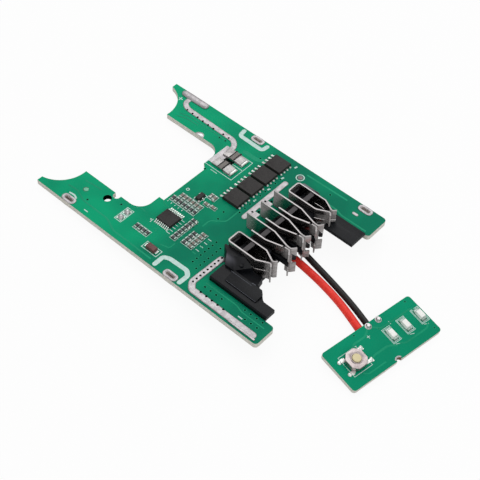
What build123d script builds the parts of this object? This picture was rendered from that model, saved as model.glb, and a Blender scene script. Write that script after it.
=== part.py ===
"""Battery management board: pronged main board, spring contact block, leads and LED board.

Every piece is drawn from the rear-left corner of the main board's top face, with X from the
prong tips towards the contacts, and is moved to the locating hole when it is written.
"""
from build123d import *
import os
from math import tan, radians

os.makedirs("parts", exist_ok=True)

# Main board
board_length = 79.3
board_width = 54.0
board_thickness = 1.6
right_arm_end = 78.0
left_arm_width = 6.95
opening_width = 38.9
opening_rear = 57.3
arm_corner = 1.0
opening_corner = 0.3

# Locating hole, the datum of the whole part
hole_x = 18.7
hole_y = 8.4
hole_diameter = 2.4

# Prongs and the window between them
cell_arc_radius = 8.9
cell_arc_x = -1.7
cell_arc_y = 10.5
prong_width = 11.3
window_end = 28.4
window_corner = 4.0
notch_x = 19.85
notch_width = 2.1
notch_depth = 1.6
recess_depth = 1.7
recess_start = 18.3
recess_end = 34.3
recess_slope = 1.4

# Cell-tab slots: each is a ring of tin round a slot cut through the board
ring_width = 0.75
tab_slot_width = 0.9
left_slot_x = (11.4, 49.4)
left_slot_y = 1.2
left_slot_length = 3.0
mid_slot_x = 33.2
mid_slot_length = 2.8
end_slot_x = 71.7
end_slot_length = 2.9
right_slot_inset = 1.2

# Tinned copper
tin = 0.08
bus_bend = 1.2
positive_bus_width = 1.7
positive_bus_neck_x = 7.6
positive_bus_down_x = 30.3
positive_bus_inset = 5.5
positive_bus_slant = 0.5
positive_bus_foot = 0.2
long_pad_x = 8.95
long_pad_length = 10.1
long_pad_width = 1.9
long_pad_inset = 1.15
pour_length = 3.6
pour_margin = 2.0
negative_bus_width = 2.0
negative_bus_behind = 2.3
negative_bus_inset = 1.65
negative_bus_end = 1.5
strip_x = 49.8
strip_width = 1.6
strip_start = 27.9
strip_end = 46.2
foot_pad_width = 3.4
foot_pad_front = 52.3

# Shunts, metal strip resistors
shunt_x = 33.2
shunt_inset = (15.5, 10.8)
shunt_length = 6.4
shunt_width = 3.0
shunt_thickness = 0.7
shunt_middle = 1.7
shunt_end_gap = 0.25
shunt_lift = 0.15
shunt_coat_thickness = 0.12
shunt_pad_margin = 0.1
shunt_pad_reach = 0.7

# Power transistors
mosfet_x = 43.85
mosfet_first_y = 31.95
mosfet_pitch = 5.7
mosfet_count = 4
mosfet_length = 5.5
mosfet_width = 5.1
mosfet_height = 1.0
mosfet_lead_pitch = 1.27
mosfet_lead_reach = 0.9
mosfet_lead_width = 0.42
mosfet_lead_sheet = 0.22
mosfet_leads_each = 4
pin_mark_radius = 0.3
pin_mark_depth = 0.05
drain_tab_reach = 0.25
drain_tab_width = 0.6

# Controller chip
controller_x = 35.95
controller_y = 14.25
controller_length = 5.1
controller_width = 4.3
controller_height = 0.9
controller_standoff = 0.1
controller_leads = 8
controller_lead_pitch = 0.62
controller_lead_reach = 1.1
controller_lead_width = 0.24
controller_lead_sheet = 0.14

# Three-lead transistor
transistor_x = 36.65
transistor_y = 25.6
transistor_length = 2.7
transistor_width = 1.5
transistor_height = 1.0
transistor_lead_reach = 0.55
transistor_lead_spacing = 1.9
transistor_lead_width = 0.42

# Chip resistors and capacitors
chip_length = 1.6
chip_width = 0.8
chip_height = 0.5
chip_end = 0.35
chip_pitch = 1.3
rear_resistors = (31.4, 20.6)
side_resistors = (41.3, 10.6)
left_resistors = (31.4, 6.95)
front_resistors = (44.5, 11.4)
rear_capacitors = (32.6, 22.75)
front_capacitors = (46.5, 11.4)
slant_capacitors = (39.6, 25.0)
slant_step = (2.1, 0.3)
far_capacitors = (38.4, 28.0)
chip_cap_over = 0.03

# Chip diode and the two solder bumps
diode_x = 39.85
diode_y = 4.05
diode_length = 3.0
diode_width = 1.7
diode_height = 1.1
diode_end = 0.6
bump_x = 26.2
bump_y = 7.35
bump_pitch = 2.4
bump_radius = 0.9
bump_height = 0.7
edge_pad_x = 19.8
edge_pad_radius = 1.5
edge_pad_height = 0.4

# Spring contacts, folded from sheet
sheet = 0.4
contact_y = (18.5, 24.9, 30.4, 35.6, 42.05)
contact_top = 5.4
blade_gap = 0.2
channel_half = 2.1
channel_rear = 55.1
channel_bend = 64.4
channel_contact = 68.0
channel_lip = 68.75
channel_lip_half = 1.3
channel_bottom = -0.8
channel_slit_from = 60.3
channel_slit_low = 1.85
channel_slit_high = 2.2
pair_half = 1.85
pair_left_rear = 57.1
pair_right_rear = 52.4
pair_bend = 61.8
pair_contact = 67.0
pair_nose = 68.5
pair_lip = 69.5
pair_lip_half = 1.6
pair_bottom = -0.3
lip_start = 0.2
upper_lip_bottom = 1.9
upper_lip_cut = 1.8
lower_lip_top = -0.4
right_lip_bottom = -3.9
left_lip_bottom = -3.1
short_lip_bottom = -1.6
middle_lip_bottom = -2.8
finger_length = 0.9
blade_notch_x = 66.8
blade_notch_width = 0.6
blade_notch_depth = 0.3
strap_x = 60.2
strap_width = 1.35
strap_drop = 0.4
bend_radius = 0.7
foot_clear = 0.9

# Solder tails of the contacts under the board
tail_width = 1.0
tail_reach = 1.1
tail_clearance = 0.15
tail_solder_radius = 1.0
tail_solder_tip = 0.68
tail_first = 1.0
tail_second = 3.4

# Contact housing, one moulding
fit = 0.1
housing_rear = 54.4
partition_top = 3.4
partition_front = 64.4
rear_wall_top = 2.8
rear_wall = 1.0
floor_top = -1.0
pair_floor_top = -0.4
floor_front = 65.4
channel_floor_front = 66.4
tongue_from = 61.5
tongue_bottom = -2.3
rib_inset = 0.6
rib_thickness = 0.6
rib_half = 1.6
rib_top = 4.4
rib_foot = 1.2

# Guides under the lips of the inner contacts
guide_rear = 64.0
guide_front = 69.45
guide_half = 1.7
guide_bottom = 0.6
guide_top = 1.8
guide_slot_half = 0.65
guide_mouth_half = 1.35

# Shoulders of the housing beside the outer contacts
shoulder_top = 3.9
shoulder_fold = 2.0
shoulder_front = 61.0
shoulder_left = 12.1
shoulder_right = 47.0
shoulder_slope = 2.2
shoulder_flank = 3.0
corner_cut = 3.7
right_fold = 2.7
right_slope = 1.0
right_corner = 0.8
knob_x = 61.7
knob_y = 14.3
knob_radius = 0.55
knob_top = 2.9

# Wings of the housing beside the arms
side_wall_front = 67.3
side_wall_top = 1.6
left_wing_front = 76.3
left_wing_width = 3.25
left_gusset = [(72.8, 10.3), (72.2, 10.6), (70.2, 12.5), (67.8, 13.7)]
wing_thickness = 1.3
wing_bevel = 0.3
step_from = 61.1
step_to = 71.4
step_y = 8.75
step_height = 0.3
ridge_y = 11.5
ridge_width = 0.8
ridge_top = 2.1
recess_top = 0.8
apron_y = 11.3
right_wing_rear = 67.5
right_wing_front = 77.0
right_wing_width = 5.75
right_wing_ridge = 0.6

# Pegs of the housing in the main board
peg_diameter = 1.6
peg_clearance = 0.05
peg_x = 55.95
peg_y = (14.35, 45.55)
peg_head_diameter = 2.6
peg_head_height = 0.6

# Leads between the boards
red_diameter = 2.1
black_diameter = 1.7
red_route = [
    (54.8, 29.4, -2.75),
    (61.5, 29.9, -3.45),
    (68.9, 29.35, -3.9),
    (76.4, 28.5, -4.2),
    (83.4, 27.1, -4.55),
    (88.6, 25.45, -4.8),
    (92.9, 23.9, -4.98),
]
black_route = [
    (54.8, 34.75, -2.6),
    (61.5, 33.9, -3.3),
    (69.9, 32.2, -3.95),
    (77.9, 30.7, -4.35),
    (84.3, 29.3, -4.7),
    (89.2, 28.0, -4.95),
    (93.35, 26.6, -5.12),
]
bare_diameter = 0.64
bare_length = 2.2
bare_lead_in = 0.6
joint_radius = 1.3
joint_height = 1.6

# LED board, lying askew on its leads
led_board_width = 12.4
led_board_length = 30.1
led_board_thickness = 1.2
led_board_corner = 0.9
led_board_x = 99.53
led_board_y = 24.46
led_board_z = -4.32
led_board_yaw = -8.9
led_board_pitch = 7.4
led_board_roll = -1.15
led_notch_radius = 0.8
wire_hole_inset = 0.85
wire_hole_y = (0.15, 3.6)
wire_hole_diameter = 0.9
solder_cone_radius = 0.75
solder_cone_height = 0.6

# LEDs
led_x = -0.2
led_y = (3.4, 8.3, 13.4)
led_length = 3.4
led_width = 1.6
led_base = 0.5
led_height = 1.1
led_end = 0.55
led_lens_taper = 8.0

# Push switch
switch_x = 0.15
switch_y = -9.3
switch_side = 5.2
switch_corner = 1.3
switch_height = 1.6
cover_sheet = 0.2
cover_hole_diameter = 2.7
leg_spacing = 3.9
leg_span = 7.0
leg_width = 0.8
leg_sheet = 0.25
button_diameter = 2.3
button_flange_diameter = 3.3
button_flange = 0.3
button_proud = 0.5
button_play = 0.05
button_travel = 0.25
dome_diameter = 3.4
dome_height = 0.35
dome_sheet = 0.1
cavity_diameter = 3.8

datum = Pos(-hole_x, -hole_y, board_thickness)
led_place = (Pos(led_board_x, led_board_y, led_board_z) * Rot(0, 0, led_board_yaw)
             * Rot(0, led_board_pitch, 0) * Rot(led_board_roll, 0, 0))


def save(name, solids):
    """Write one node: a single solid, or a list of like solids."""
    shape = Compound(solids) if isinstance(solids, list) else solids
    export_step(datum * shape, os.path.join("parts", name + ".step"))


def block(x, y, z):
    """Box between pairs of X, Y and Z limits."""
    size = Box(x[1] - x[0], y[1] - y[0], z[1] - z[0])
    return Pos((x[0] + x[1]) / 2, (y[0] + y[1]) / 2, (z[0] + z[1]) / 2) * size


def plate(outline, low, high):
    """Flat outline raised between two heights."""
    return extrude(Pos(0, 0, low) * outline, high - low)


def strip(points, width, radius):
    """Plan outline of a strip of constant width along rounded corners."""
    line = FilletPolyline(*points, radius=radius)
    return trace(line, width)


def slot(x, y, length, width):
    """Rounded slot outline lying along X."""
    return Pos(x, y) * SlotOverall(length, width)


def rect(x, y):
    """Rectangle between pairs of X and Y limits."""
    return Pos((x[0] + x[1]) / 2, (y[0] + y[1]) / 2) * Rectangle(x[1] - x[0], y[1] - y[0])


def gull_lead(reach, height, thickness, width):
    """Lead that leaves a chip along +X, steps down and lies on the board."""
    low = thickness / 2
    line = FilletPolyline((0, height), (0.35 * reach, height), (0.55 * reach, low), (reach, low),
                          radius=0.6 * thickness)
    return extrude(Plane.XZ * trace(line, thickness), width / 2, both=True)


# Places that several pieces share
right_slot_y = board_width - right_slot_inset
opening_left = left_arm_width
shunt_y = [board_width - inset for inset in shunt_inset]
opening_right = opening_left + opening_width
tail_x = (pair_right_rear + tail_first, pair_right_rear + tail_second)
outer_contacts = (contact_y[0], contact_y[-1])
inner_contacts = contact_y[1:-1]
left_inner_wall = contact_y[0] - channel_half - sheet / 2 - fit
right_inner_wall = contact_y[-1] + channel_half + sheet / 2 + fit
tab_slots = [(x, left_slot_y, left_slot_length) for x in left_slot_x]
tab_slots += [(mid_slot_x, right_slot_y, mid_slot_length)]
tab_slots += [(end_slot_x, right_slot_y, end_slot_length)]


def tail_places():
    """Places of all solder tails, each with the direction of its sheet: along X or along Y."""
    places = []
    for y in outer_contacts:
        places += [(channel_rear, y - channel_half / 2, 90), (channel_rear, y + channel_half / 2, 90)]
    for y in inner_contacts:
        places += [(x, y + pair_half, 0) for x in tail_x]
    return places


def board_outline():
    """Main board seen from above."""
    outline = rect((0, board_length), (0, board_width))
    for y in (cell_arc_y, board_width - cell_arc_y):
        outline -= Pos(cell_arc_x, y) * Circle(cell_arc_radius)
    window = rect((cell_arc_x - window_corner, window_end), (prong_width, board_width - prong_width))
    window = fillet(window.vertices().group_by(Axis.X)[-1], window_corner)
    recess = Polygon(
        (window_end - 1, recess_start), (window_end + recess_depth, recess_start),
        (window_end + recess_depth, recess_end), (window_end, recess_end + recess_slope),
        (window_end - 1, recess_end + recess_slope), align=None)
    notch_middle = prong_width - notch_depth + notch_width / 2
    notch = rect((notch_x - notch_width / 2, notch_x + notch_width / 2), (notch_middle, prong_width + 1))
    notch += Pos(notch_x, notch_middle) * Circle(notch_width / 2)
    opening = rect((opening_rear, board_length + 5), (opening_left, opening_right))
    opening = fillet(opening.vertices().group_by(Axis.X)[0], opening_corner)
    short_end = rect((right_arm_end, board_length + 5), (opening_left, board_width + 5))
    outline -= window + recess + notch
    outline -= opening + short_end
    ends = [v for v in outline.vertices() if v.X > opening_rear + 5]
    outline = fillet(ends, arm_corner)
    return outline


def board_holes():
    """Every hole through the main board."""
    holes = Pos(hole_x, hole_y) * Circle(hole_diameter / 2)
    for x, y, length in tab_slots:
        holes += slot(x, y, length, tab_slot_width)
    for y in peg_y:
        holes += Pos(peg_x, y) * Circle(peg_diameter / 2 + peg_clearance)
    return holes + tail_holes()


def tail_holes():
    """Slots for the contacts' solder tails."""
    gap = 2 * tail_clearance
    holes = Sketch()
    for x, y, turn in tail_places():
        holes += Pos(x, y) * Rot(0, 0, turn) * Rectangle(tail_width + gap, sheet + gap)
    return holes


def main_board():
    return plate(board_outline() - board_holes(), -board_thickness, 0)


def tin_plate(outline):
    """Tinned copper lying on the board."""
    return plate(outline, 0, tin)


def positive_bus():
    """Run from the right prong's long pad to the shunts, with the pad itself."""
    pad_y = board_width - long_pad_inset
    near = board_width - positive_bus_inset
    far = near - positive_bus_slant
    down = positive_bus_down_x
    run = strip([(positive_bus_neck_x, pad_y), (positive_bus_neck_x, near + 1.3),
                 (positive_bus_neck_x + 2, near), (down - 1.9, far), (down, far - 1.9),
                 (down, shunt_y[1] - positive_bus_foot)],
                positive_bus_width, bus_bend)
    pad = slot(long_pad_x, pad_y, long_pad_length, long_pad_width)
    rear = window_end + fit
    pour = rect((rear, rear + pour_length), (shunt_y[0] - 1.1, shunt_y[1] + pour_margin))
    return tin_plate(run + pad + pour)


def negative_bus():
    """Run from beside the housing's cut corner round to the end of the left arm."""
    behind = opening_rear - negative_bus_behind
    inset = negative_bus_inset
    end = board_length - negative_bus_end
    run = strip([(behind + 0.2, shoulder_left + corner_cut), (behind - 0.2, inset + 2), (behind + 1.6, inset),
                 (end - negative_bus_width / 2, inset)], negative_bus_width, bus_bend)
    run += Pos(end - negative_bus_width / 2, inset) * Circle(negative_bus_width / 2)
    return tin_plate(run - left_shoulder_plan(fit))


def contact_strip():
    """Collector strip behind the contacts, with a foot pad for the sheets that stand on it."""
    run = rect((strip_x - strip_width / 2, strip_x + strip_width / 2), (strip_start, strip_end))
    for y in inner_contacts[1:]:
        middle = y + pair_half
        run += rect((strip_x, foot_pad_front), (middle - foot_pad_width / 2, middle + foot_pad_width / 2))
    return tin_plate(run - tail_holes())


def slot_rings():
    """Tin round each cell-tab slot."""
    rings = []
    for x, y, length in tab_slots:
        ring = slot(x, y, length + 2 * ring_width, tab_slot_width + 2 * ring_width)
        rings.append(tin_plate(ring - slot(x, y, length, tab_slot_width)))
    return rings


def shunt_pads():
    """Pads at the shunts' far ends."""
    far = shunt_x + shunt_length / 2 + shunt_pad_reach
    near = shunt_x + shunt_middle / 2 + shunt_end_gap
    half = shunt_width / 2 + shunt_pad_margin
    return [tin_plate(rect((near, far), (y - half, y + half))) for y in shunt_y]


def shunt(y):
    """Metal strip with a waist, its two ends bent down onto the pads."""
    half = shunt_length / 2
    foot = shunt_middle / 2 + shunt_end_gap
    waist = foot - shunt_lift
    low = tin + shunt_lift
    high = shunt_thickness
    side = Polygon(
        (-half, tin), (-foot, tin), (-waist, low), (waist, low), (foot, tin), (half, tin),
        (half, high - shunt_lift), (foot, high), (-foot, high), (-half, high - shunt_lift), align=None)
    return Pos(shunt_x, y) * extrude(Plane.XZ * side, shunt_width / 2, both=True)


def shunt_coat(y):
    """Dark coat over the waist of a shunt."""
    half = shunt_width / 2 + shunt_pad_margin
    coat = block((-shunt_middle / 2, shunt_middle / 2), (-half, half),
                 (shunt_thickness, shunt_thickness + shunt_coat_thickness))
    return Pos(shunt_x, y) * coat


def mosfet(y):
    """Flat moulded body with drafted sides."""
    body = extrude(Rectangle(mosfet_length, mosfet_width), mosfet_height, taper=5)
    edge = body.edges().group_by(Axis.Z)[-1]
    dot = Pos(-mosfet_length / 2 + 0.9, -mosfet_width / 2 + 0.9, mosfet_height)
    dot *= Cylinder(pin_mark_radius, 2 * pin_mark_depth)
    return Pos(mosfet_x, y, 0) * (fillet(edge, 0.08) - dot)


def mosfet_leads():
    """Four leads to the rear of each power transistor and four short drain tabs to the front."""
    lead = gull_lead(mosfet_lead_reach, mosfet_height * 0.3, mosfet_lead_sheet, mosfet_lead_width)
    lead = Rot(0, 0, 180) * lead
    tab = block((0, drain_tab_reach), (-drain_tab_width / 2, drain_tab_width / 2), (0, mosfet_lead_sheet))
    first = -(mosfet_leads_each - 1) / 2 * mosfet_lead_pitch
    solids = []
    for number in range(mosfet_count):
        for step in range(mosfet_leads_each):
            y = mosfet_first_y + number * mosfet_pitch + first + step * mosfet_lead_pitch
            solids.append(Pos(mosfet_x - mosfet_length / 2, y) * lead)
            solids.append(Pos(mosfet_x + mosfet_length / 2, y) * tab)
    return solids


def controller_chip():
    low = controller_standoff
    body = extrude(Rectangle(controller_length, controller_width), controller_height - low, taper=7)
    dot = Pos(-controller_length / 2 + 0.7, -controller_width / 2 + 0.8, controller_height)
    dot *= Cylinder(pin_mark_radius, 2 * pin_mark_depth)
    return Pos(controller_x, controller_y) * (Pos(0, 0, low) * body - dot)


def controller_leads_row():
    """Eight leads along each long side of the controller."""
    lead = gull_lead(controller_lead_reach, controller_height / 2, controller_lead_sheet,
                     controller_lead_width)
    solids = []
    first = -(controller_leads - 1) / 2 * controller_lead_pitch
    for turn in (90, -90):
        side = Pos(controller_x, controller_y) * Rot(0, 0, turn)
        for step in range(controller_leads):
            solids.append(side * Pos(controller_width / 2, first + step * controller_lead_pitch) * lead)
    return solids


def transistor():
    low = controller_standoff
    body = extrude(Rectangle(transistor_width, transistor_length), transistor_height - low, taper=5)
    return Pos(transistor_x, transistor_y, low) * body


def transistor_leads():
    """Two leads on one side and one on the other."""
    lead = gull_lead(transistor_lead_reach, 0.45, 0.14, transistor_lead_width)
    half = transistor_width / 2
    front = Pos(transistor_x + half, transistor_y) * lead
    rear = [Pos(transistor_x - half, transistor_y + offset) * Rot(0, 0, 180) * lead
            for offset in (-transistor_lead_spacing / 2, transistor_lead_spacing / 2)]
    return [front] + rear


def chip_row(x, y, step_x, step_y, count, turn):
    """Places of a row of chips, each turned by the same angle."""
    return [Pos(x + number * step_x, y + number * step_y) * Rot(0, 0, turn) for number in range(count)]


def chip_places():
    """Rows of resistors and rows of capacitors round the controller."""
    p = chip_pitch
    resistors = chip_row(*rear_resistors, p, 0, 7, 90)
    resistors += chip_row(*side_resistors, 0, p, 7, 0)
    resistors += chip_row(*left_resistors, p, 0, 4, 90)
    resistors += chip_row(*front_resistors, 0, p, 4, 0)
    capacitors = chip_row(*rear_capacitors, p, 0, 6, 90)
    capacitors += chip_row(*front_capacitors, 0, p, 5, 0)
    capacitors += chip_row(*slant_capacitors, *slant_step, 2, 0)
    capacitors += chip_row(*far_capacitors, p, 0, 2, 90)
    return resistors, capacitors


def chip_bodies(places):
    core = chip_length - 2 * chip_end
    body = block((-core / 2, core / 2), (-chip_width / 2, chip_width / 2), (0, chip_height))
    return [place * body for place in places]


def chip_ends(places):
    """Metal caps on both ends, thicker than the body."""
    outer = chip_length / 2
    inner = outer - chip_end
    half = chip_width / 2 + chip_cap_over
    top = chip_height + chip_cap_over
    caps = []
    for place in places:
        caps.append(place * block((inner, outer), (-half, half), (0, top)))
        caps.append(place * block((-outer, -inner), (-half, half), (0, top)))
    return caps


def diode():
    body = extrude(Rectangle(diode_length, diode_width), diode_height, taper=4)
    return Pos(diode_x, diode_y) * body


def diode_ends():
    """Flat leads folded under the diode's ends."""
    outer = diode_length / 2 + diode_end
    width = diode_width * 0.7
    lead = block((diode_length / 2, outer), (-width / 2, width / 2), (0, 0.25))
    return [Pos(diode_x, diode_y) * lead, Pos(diode_x, diode_y) * Rot(0, 0, 180) * lead]


def dome(radius, height):
    """Round cap standing on the board, a slice of a ball."""
    ball = (radius ** 2 + height ** 2) / (2 * height)
    cap = Pos(0, 0, height - ball) * Sphere(ball)
    return cap & Pos(0, 0, ball) * Box(4 * ball, 4 * ball, 2 * ball)


def solder_bumps():
    """Two soldered test pads beside the window and the half pad on the right prong's edge."""
    bump = dome(bump_radius, bump_height)
    bumps = [Pos(bump_x, bump_y - bump_pitch / 2) * bump, Pos(bump_x, bump_y + bump_pitch / 2) * bump]
    edge = board_width - prong_width
    half = dome(edge_pad_radius, edge_pad_height) & block((-9, 9), (0, 9), (0, 9))
    bumps.append(Pos(edge_pad_x, edge) * half)
    return bumps


def channel_strip(y, width):
    """Plan of an outer contact: a channel whose sides close to a contact and flare into lips."""
    close = (sheet + blade_gap) / 2
    side = [(channel_lip, channel_lip_half), (channel_contact, close), (channel_bend, channel_half),
            (channel_rear, channel_half)]
    right = [(x, y + offset) for x, offset in side]
    left = [(x, y - offset) for x, offset in reversed(side)]
    return strip(right + left, width, bend_radius)


def pair_strips(y, width):
    """Plan of an inner contact: two blades that close to a contact and flare into lips."""
    close = (sheet + blade_gap) / 2
    side = [(pair_lip, pair_lip_half), (pair_nose, close), (pair_contact, close + 0.1),
            (pair_bend, pair_half)]
    right = [(x, y + offset) for x, offset in side + [(pair_right_rear, pair_half)]]
    left = [(x, y - offset) for x, offset in side + [(pair_left_rear, pair_half)]]
    return [strip(left, width, bend_radius), strip(right, width, bend_radius)]


def strap(y, half):
    """Cross strap that ties the two sides of a contact near their top edge."""
    high = contact_top - strap_drop
    return block((strap_x - strap_width / 2, strap_x + strap_width / 2), (y - half, y + half),
                 (high - sheet, high))


def tail(x, y, turn):
    """Solder tail from a contact down through the board."""
    pin = block((-tail_width / 2, tail_width / 2), (-sheet / 2, sheet / 2),
                (-board_thickness - tail_reach, tin + sheet))
    return Pos(x, y) * Rot(0, 0, turn) * pin


def beside(y):
    """Y limits that take in one contact and none of its neighbours' sheets."""
    return (y - 2.6, y + 2.6)


def channel_contact_piece(y):
    """Outer contact: its sides are slit into an upper and a lower finger."""
    body = plate(channel_strip(y, sheet), channel_bottom, contact_top)
    body -= block((channel_rear - 1, opening_rear + foot_clear), beside(y), (channel_bottom, tin))
    body -= block((channel_slit_from, channel_lip + 1), beside(y), (channel_slit_low, channel_slit_high))
    body += strap(y, channel_half)
    for x, tail_y, turn in tail_places():
        if abs(tail_y - y) < channel_half:
            body += tail(x, tail_y, turn)
    return body


def lip_corner(y):
    """Wedge that cuts the inner bottom corner off an upper lip."""
    rear = pair_nose + lip_start
    front = pair_lip + sheet
    side = Polygon((rear, upper_lip_bottom), (front, upper_lip_bottom),
                   (rear, upper_lip_bottom + upper_lip_cut), align=None)
    return Pos(0, y) * extrude(Plane.XZ * side, pair_half, both=True)


def pair_contact_piece(y, left_bottom, right_bottom):
    """Inner contact: two blades tied by a strap, with upper lips and the lower lips that hang in front."""
    body = Part()
    for outline, bottom in zip(pair_strips(y, sheet), (left_bottom, right_bottom)):
        blade = plate(outline, pair_bottom, contact_top)
        hanging = block((pair_nose - finger_length, pair_lip + 1), beside(y), (bottom, pair_bottom))
        body += blade + (plate(outline, bottom, pair_bottom) & hanging)
    body -= block((pair_right_rear - 1, opening_rear + foot_clear), beside(y), (pair_bottom, tin))
    body -= block((pair_nose + lip_start, pair_lip + 1), beside(y), (lower_lip_top, upper_lip_bottom))
    body -= lip_corner(y)
    body -= block((blade_notch_x - blade_notch_width / 2, blade_notch_x + blade_notch_width / 2),
                  (y - pair_half, y - blade_gap / 2), (contact_top - blade_notch_depth, contact_top))
    body += strap(y, pair_half)
    for x, tail_y, turn in tail_places():
        if turn == 0 and abs(tail_y - pair_half - y) < sheet:
            body += tail(x, tail_y, turn)
    return body


def tail_solder():
    """Cone of solder round each tail under the board."""
    cones = []
    for x, y, turn in tail_places():
        height = tail_reach * 0.8
        cone = Rot(180, 0, 0) * Cone(tail_solder_radius, tail_solder_tip, height)
        cones.append(Pos(x, y, -board_thickness - height / 2) * cone - tail(x, y, turn))
    return cones


def left_shoulder_plan(gap):
    """Foot of the shoulder beside the first contact, cut back at its rear corner; gap makes it larger."""
    rear = housing_rear - gap
    outer = shoulder_left - gap
    return Polygon(
        (rear, left_inner_wall), (rear, outer + corner_cut), (rear + corner_cut, outer),
        (shoulder_front, outer), (shoulder_front + shoulder_flank, left_inner_wall), align=None)


def shoulder_slope_form(foot, crest, fold):
    """Shoulder that stands upright to the fold and then leans in to its crest."""
    low = plate(foot, 0, fold)
    return low + loft([Pos(0, 0, fold) * foot, Pos(0, 0, shoulder_top) * crest], ruled=True)


def left_shoulder():
    """Shoulder beside the first contact."""
    lean = shoulder_slope
    crest = Polygon(
        (housing_rear + 0.2, left_inner_wall), (housing_rear + 0.3, shoulder_left + corner_cut - 0.3),
        (housing_rear + lean, shoulder_left + lean), (shoulder_front - lean, shoulder_left + lean),
        (shoulder_front, left_inner_wall), align=None)
    return shoulder_slope_form(left_shoulder_plan(0), crest, shoulder_fold)


def right_shoulder():
    """Shoulder beside the last contact."""
    lean = right_slope
    corner = right_corner
    rear = housing_rear + lean / 2
    front = shoulder_front - lean
    top = shoulder_right - lean
    foot = Polygon(
        (housing_rear, right_inner_wall), (shoulder_front, right_inner_wall),
        (shoulder_front, shoulder_right - corner), (shoulder_front - corner, shoulder_right),
        (housing_rear + corner, shoulder_right), (housing_rear, shoulder_right - corner), align=None)
    crest = Polygon(
        (rear, right_inner_wall), (front, right_inner_wall), (front, top - corner), (front - corner, top),
        (rear + corner, top), (rear, top - corner), align=None)
    return shoulder_slope_form(foot, crest, right_fold)


def left_side():
    """Side of the housing between the first contact and the left arm: wing, step, ridge and recess."""
    rear = opening_rear + fit
    edge = opening_left + fit
    wall = left_inner_wall
    top = wing_thickness
    section = Polygon(
        (edge, 0), (wall, 0), (wall, recess_top), (ridge_y + ridge_width, recess_top),
        (ridge_y + ridge_width, ridge_top), (ridge_y, ridge_top), (step_y, top + step_height),
        (step_y, top), (edge + wing_bevel, top), (edge, top - wing_bevel), align=None)
    body = Pos(rear, 0, 0) * extrude(Plane.YZ * section, left_wing_front - rear)
    body -= block((step_to, left_wing_front), (edge, wall), (top, ridge_top))
    body -= block((rear, step_from), (edge, ridge_y + ridge_width), (top, ridge_top))
    body += block((rear, left_wing_front), (apron_y, wall), (-board_thickness, 0))
    outer = edge + left_wing_width
    plan = Polygon((rear, edge), (left_wing_front, edge), (left_wing_front, outer), *left_gusset,
                   (side_wall_front, wall), (rear, wall), align=None)
    body &= plate(plan, -board_thickness, ridge_top)
    knob = Pos(knob_x, knob_y, knob_top / 2) * Cylinder(knob_radius, knob_top)
    return body + knob


def right_side():
    """Side of the housing between the last contact and the right arm, with its wing."""
    rear = opening_rear + fit
    edge = opening_right - fit
    top = wing_thickness
    width = right_wing_width
    body = block((rear, side_wall_front), (right_inner_wall, edge), (-board_thickness, side_wall_top))
    section = Polygon(
        (0, 0), (width, 0), (width, top - wing_bevel), (width * 0.55, top), (width * 0.45, top),
        (0, top - right_wing_ridge), align=None)
    wing = mirror(extrude(Plane.YZ * section, right_wing_front - right_wing_rear), Plane.XZ)
    body += Pos(right_wing_rear, edge) * wing
    body += block((side_wall_front - 1, right_wing_rear + 1), (right_inner_wall, edge),
                  (0, top - right_wing_ridge))
    return body


def partitions():
    """Y limits of the walls between neighbouring contacts."""
    halves = [channel_half] + [pair_half] * len(inner_contacts) + [channel_half]
    walls = []
    for number in range(len(contact_y) - 1):
        low = contact_y[number] + halves[number] + sheet / 2 + fit
        high = contact_y[number + 1] - halves[number + 1] - sheet / 2 - fit
        walls.append((low, high))
    return walls


def guide(y):
    """Guide under an inner contact's upper lips, open in front for the mating blade."""
    sides = (y - guide_half, y + guide_half)
    body = block((guide_rear, guide_front), sides, (guide_bottom, guide_top))
    body += block((guide_rear, floor_front), sides, (pair_floor_top, guide_top))
    mouth = Polygon(
        (pair_contact - 0.3, y - guide_slot_half), (pair_nose, y - guide_slot_half),
        (guide_front, y - guide_mouth_half), (guide_front, y + guide_mouth_half),
        (pair_nose, y + guide_slot_half), (pair_contact - 0.3, y + guide_slot_half), align=None)
    return body - plate(mouth, guide_bottom, guide_top)


def contact_slots():
    """Room that the contacts take in the housing, with the clearance round them."""
    width = sheet + 2 * fit
    slots = [plate(channel_strip(y, width), channel_bottom - fit, contact_top) for y in outer_contacts]
    for y in inner_contacts:
        for outline in pair_strips(y, width):
            blade = plate(outline, pair_bottom - fit, contact_top)
            reach = (pair_right_rear - 1, pair_nose + lip_start + fit)
            slots.append(blade & block(reach, beside(y), (-1, contact_top)))
    return slots


def housing():
    """One moulding: floor, partitions, guides, shoulders, wings and two pegs."""
    rear = opening_rear + fit
    left_end = shoulder_left + 0.5
    right_end = opening_right - fit
    walls = partitions()
    body = block((rear, floor_front), (left_end, right_end), (-board_thickness, floor_top))
    body += block((tongue_from, floor_front), (left_inner_wall, right_inner_wall), (tongue_bottom, floor_top))
    body += block((rear, floor_front), (walls[0][0], walls[-1][1]), (floor_top, pair_floor_top))
    body += block((rear, rear + rear_wall), (left_inner_wall, right_inner_wall), (floor_top, rear_wall_top))
    for low, high in walls:
        body += block((rear, partition_front), (low, high), (pair_floor_top, partition_top))
    for y in outer_contacts:
        half = channel_half + sheet
        body += block((tongue_from, channel_floor_front), (y - half, y + half), (tongue_bottom, floor_top))
        rib = channel_rear + rib_inset
        sides = (y - rib_half, y + rib_half)
        body += block((rib, rib + rib_thickness), sides, (0, rib_top))
        body += block((rib, rear + rear_wall), sides, (0, rib_foot))
    for y in inner_contacts:
        body += guide(y)
    body += left_shoulder() + right_shoulder()
    body += left_side() + right_side()
    for room in contact_slots():
        body -= room
    for y in peg_y:
        body += Pos(peg_x, y, -board_thickness / 2) * Cylinder(peg_diameter / 2, board_thickness)
        head = Cylinder(peg_head_diameter / 2, peg_head_height)
        body += Pos(peg_x, y, -board_thickness - peg_head_height / 2) * head
    return body


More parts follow.
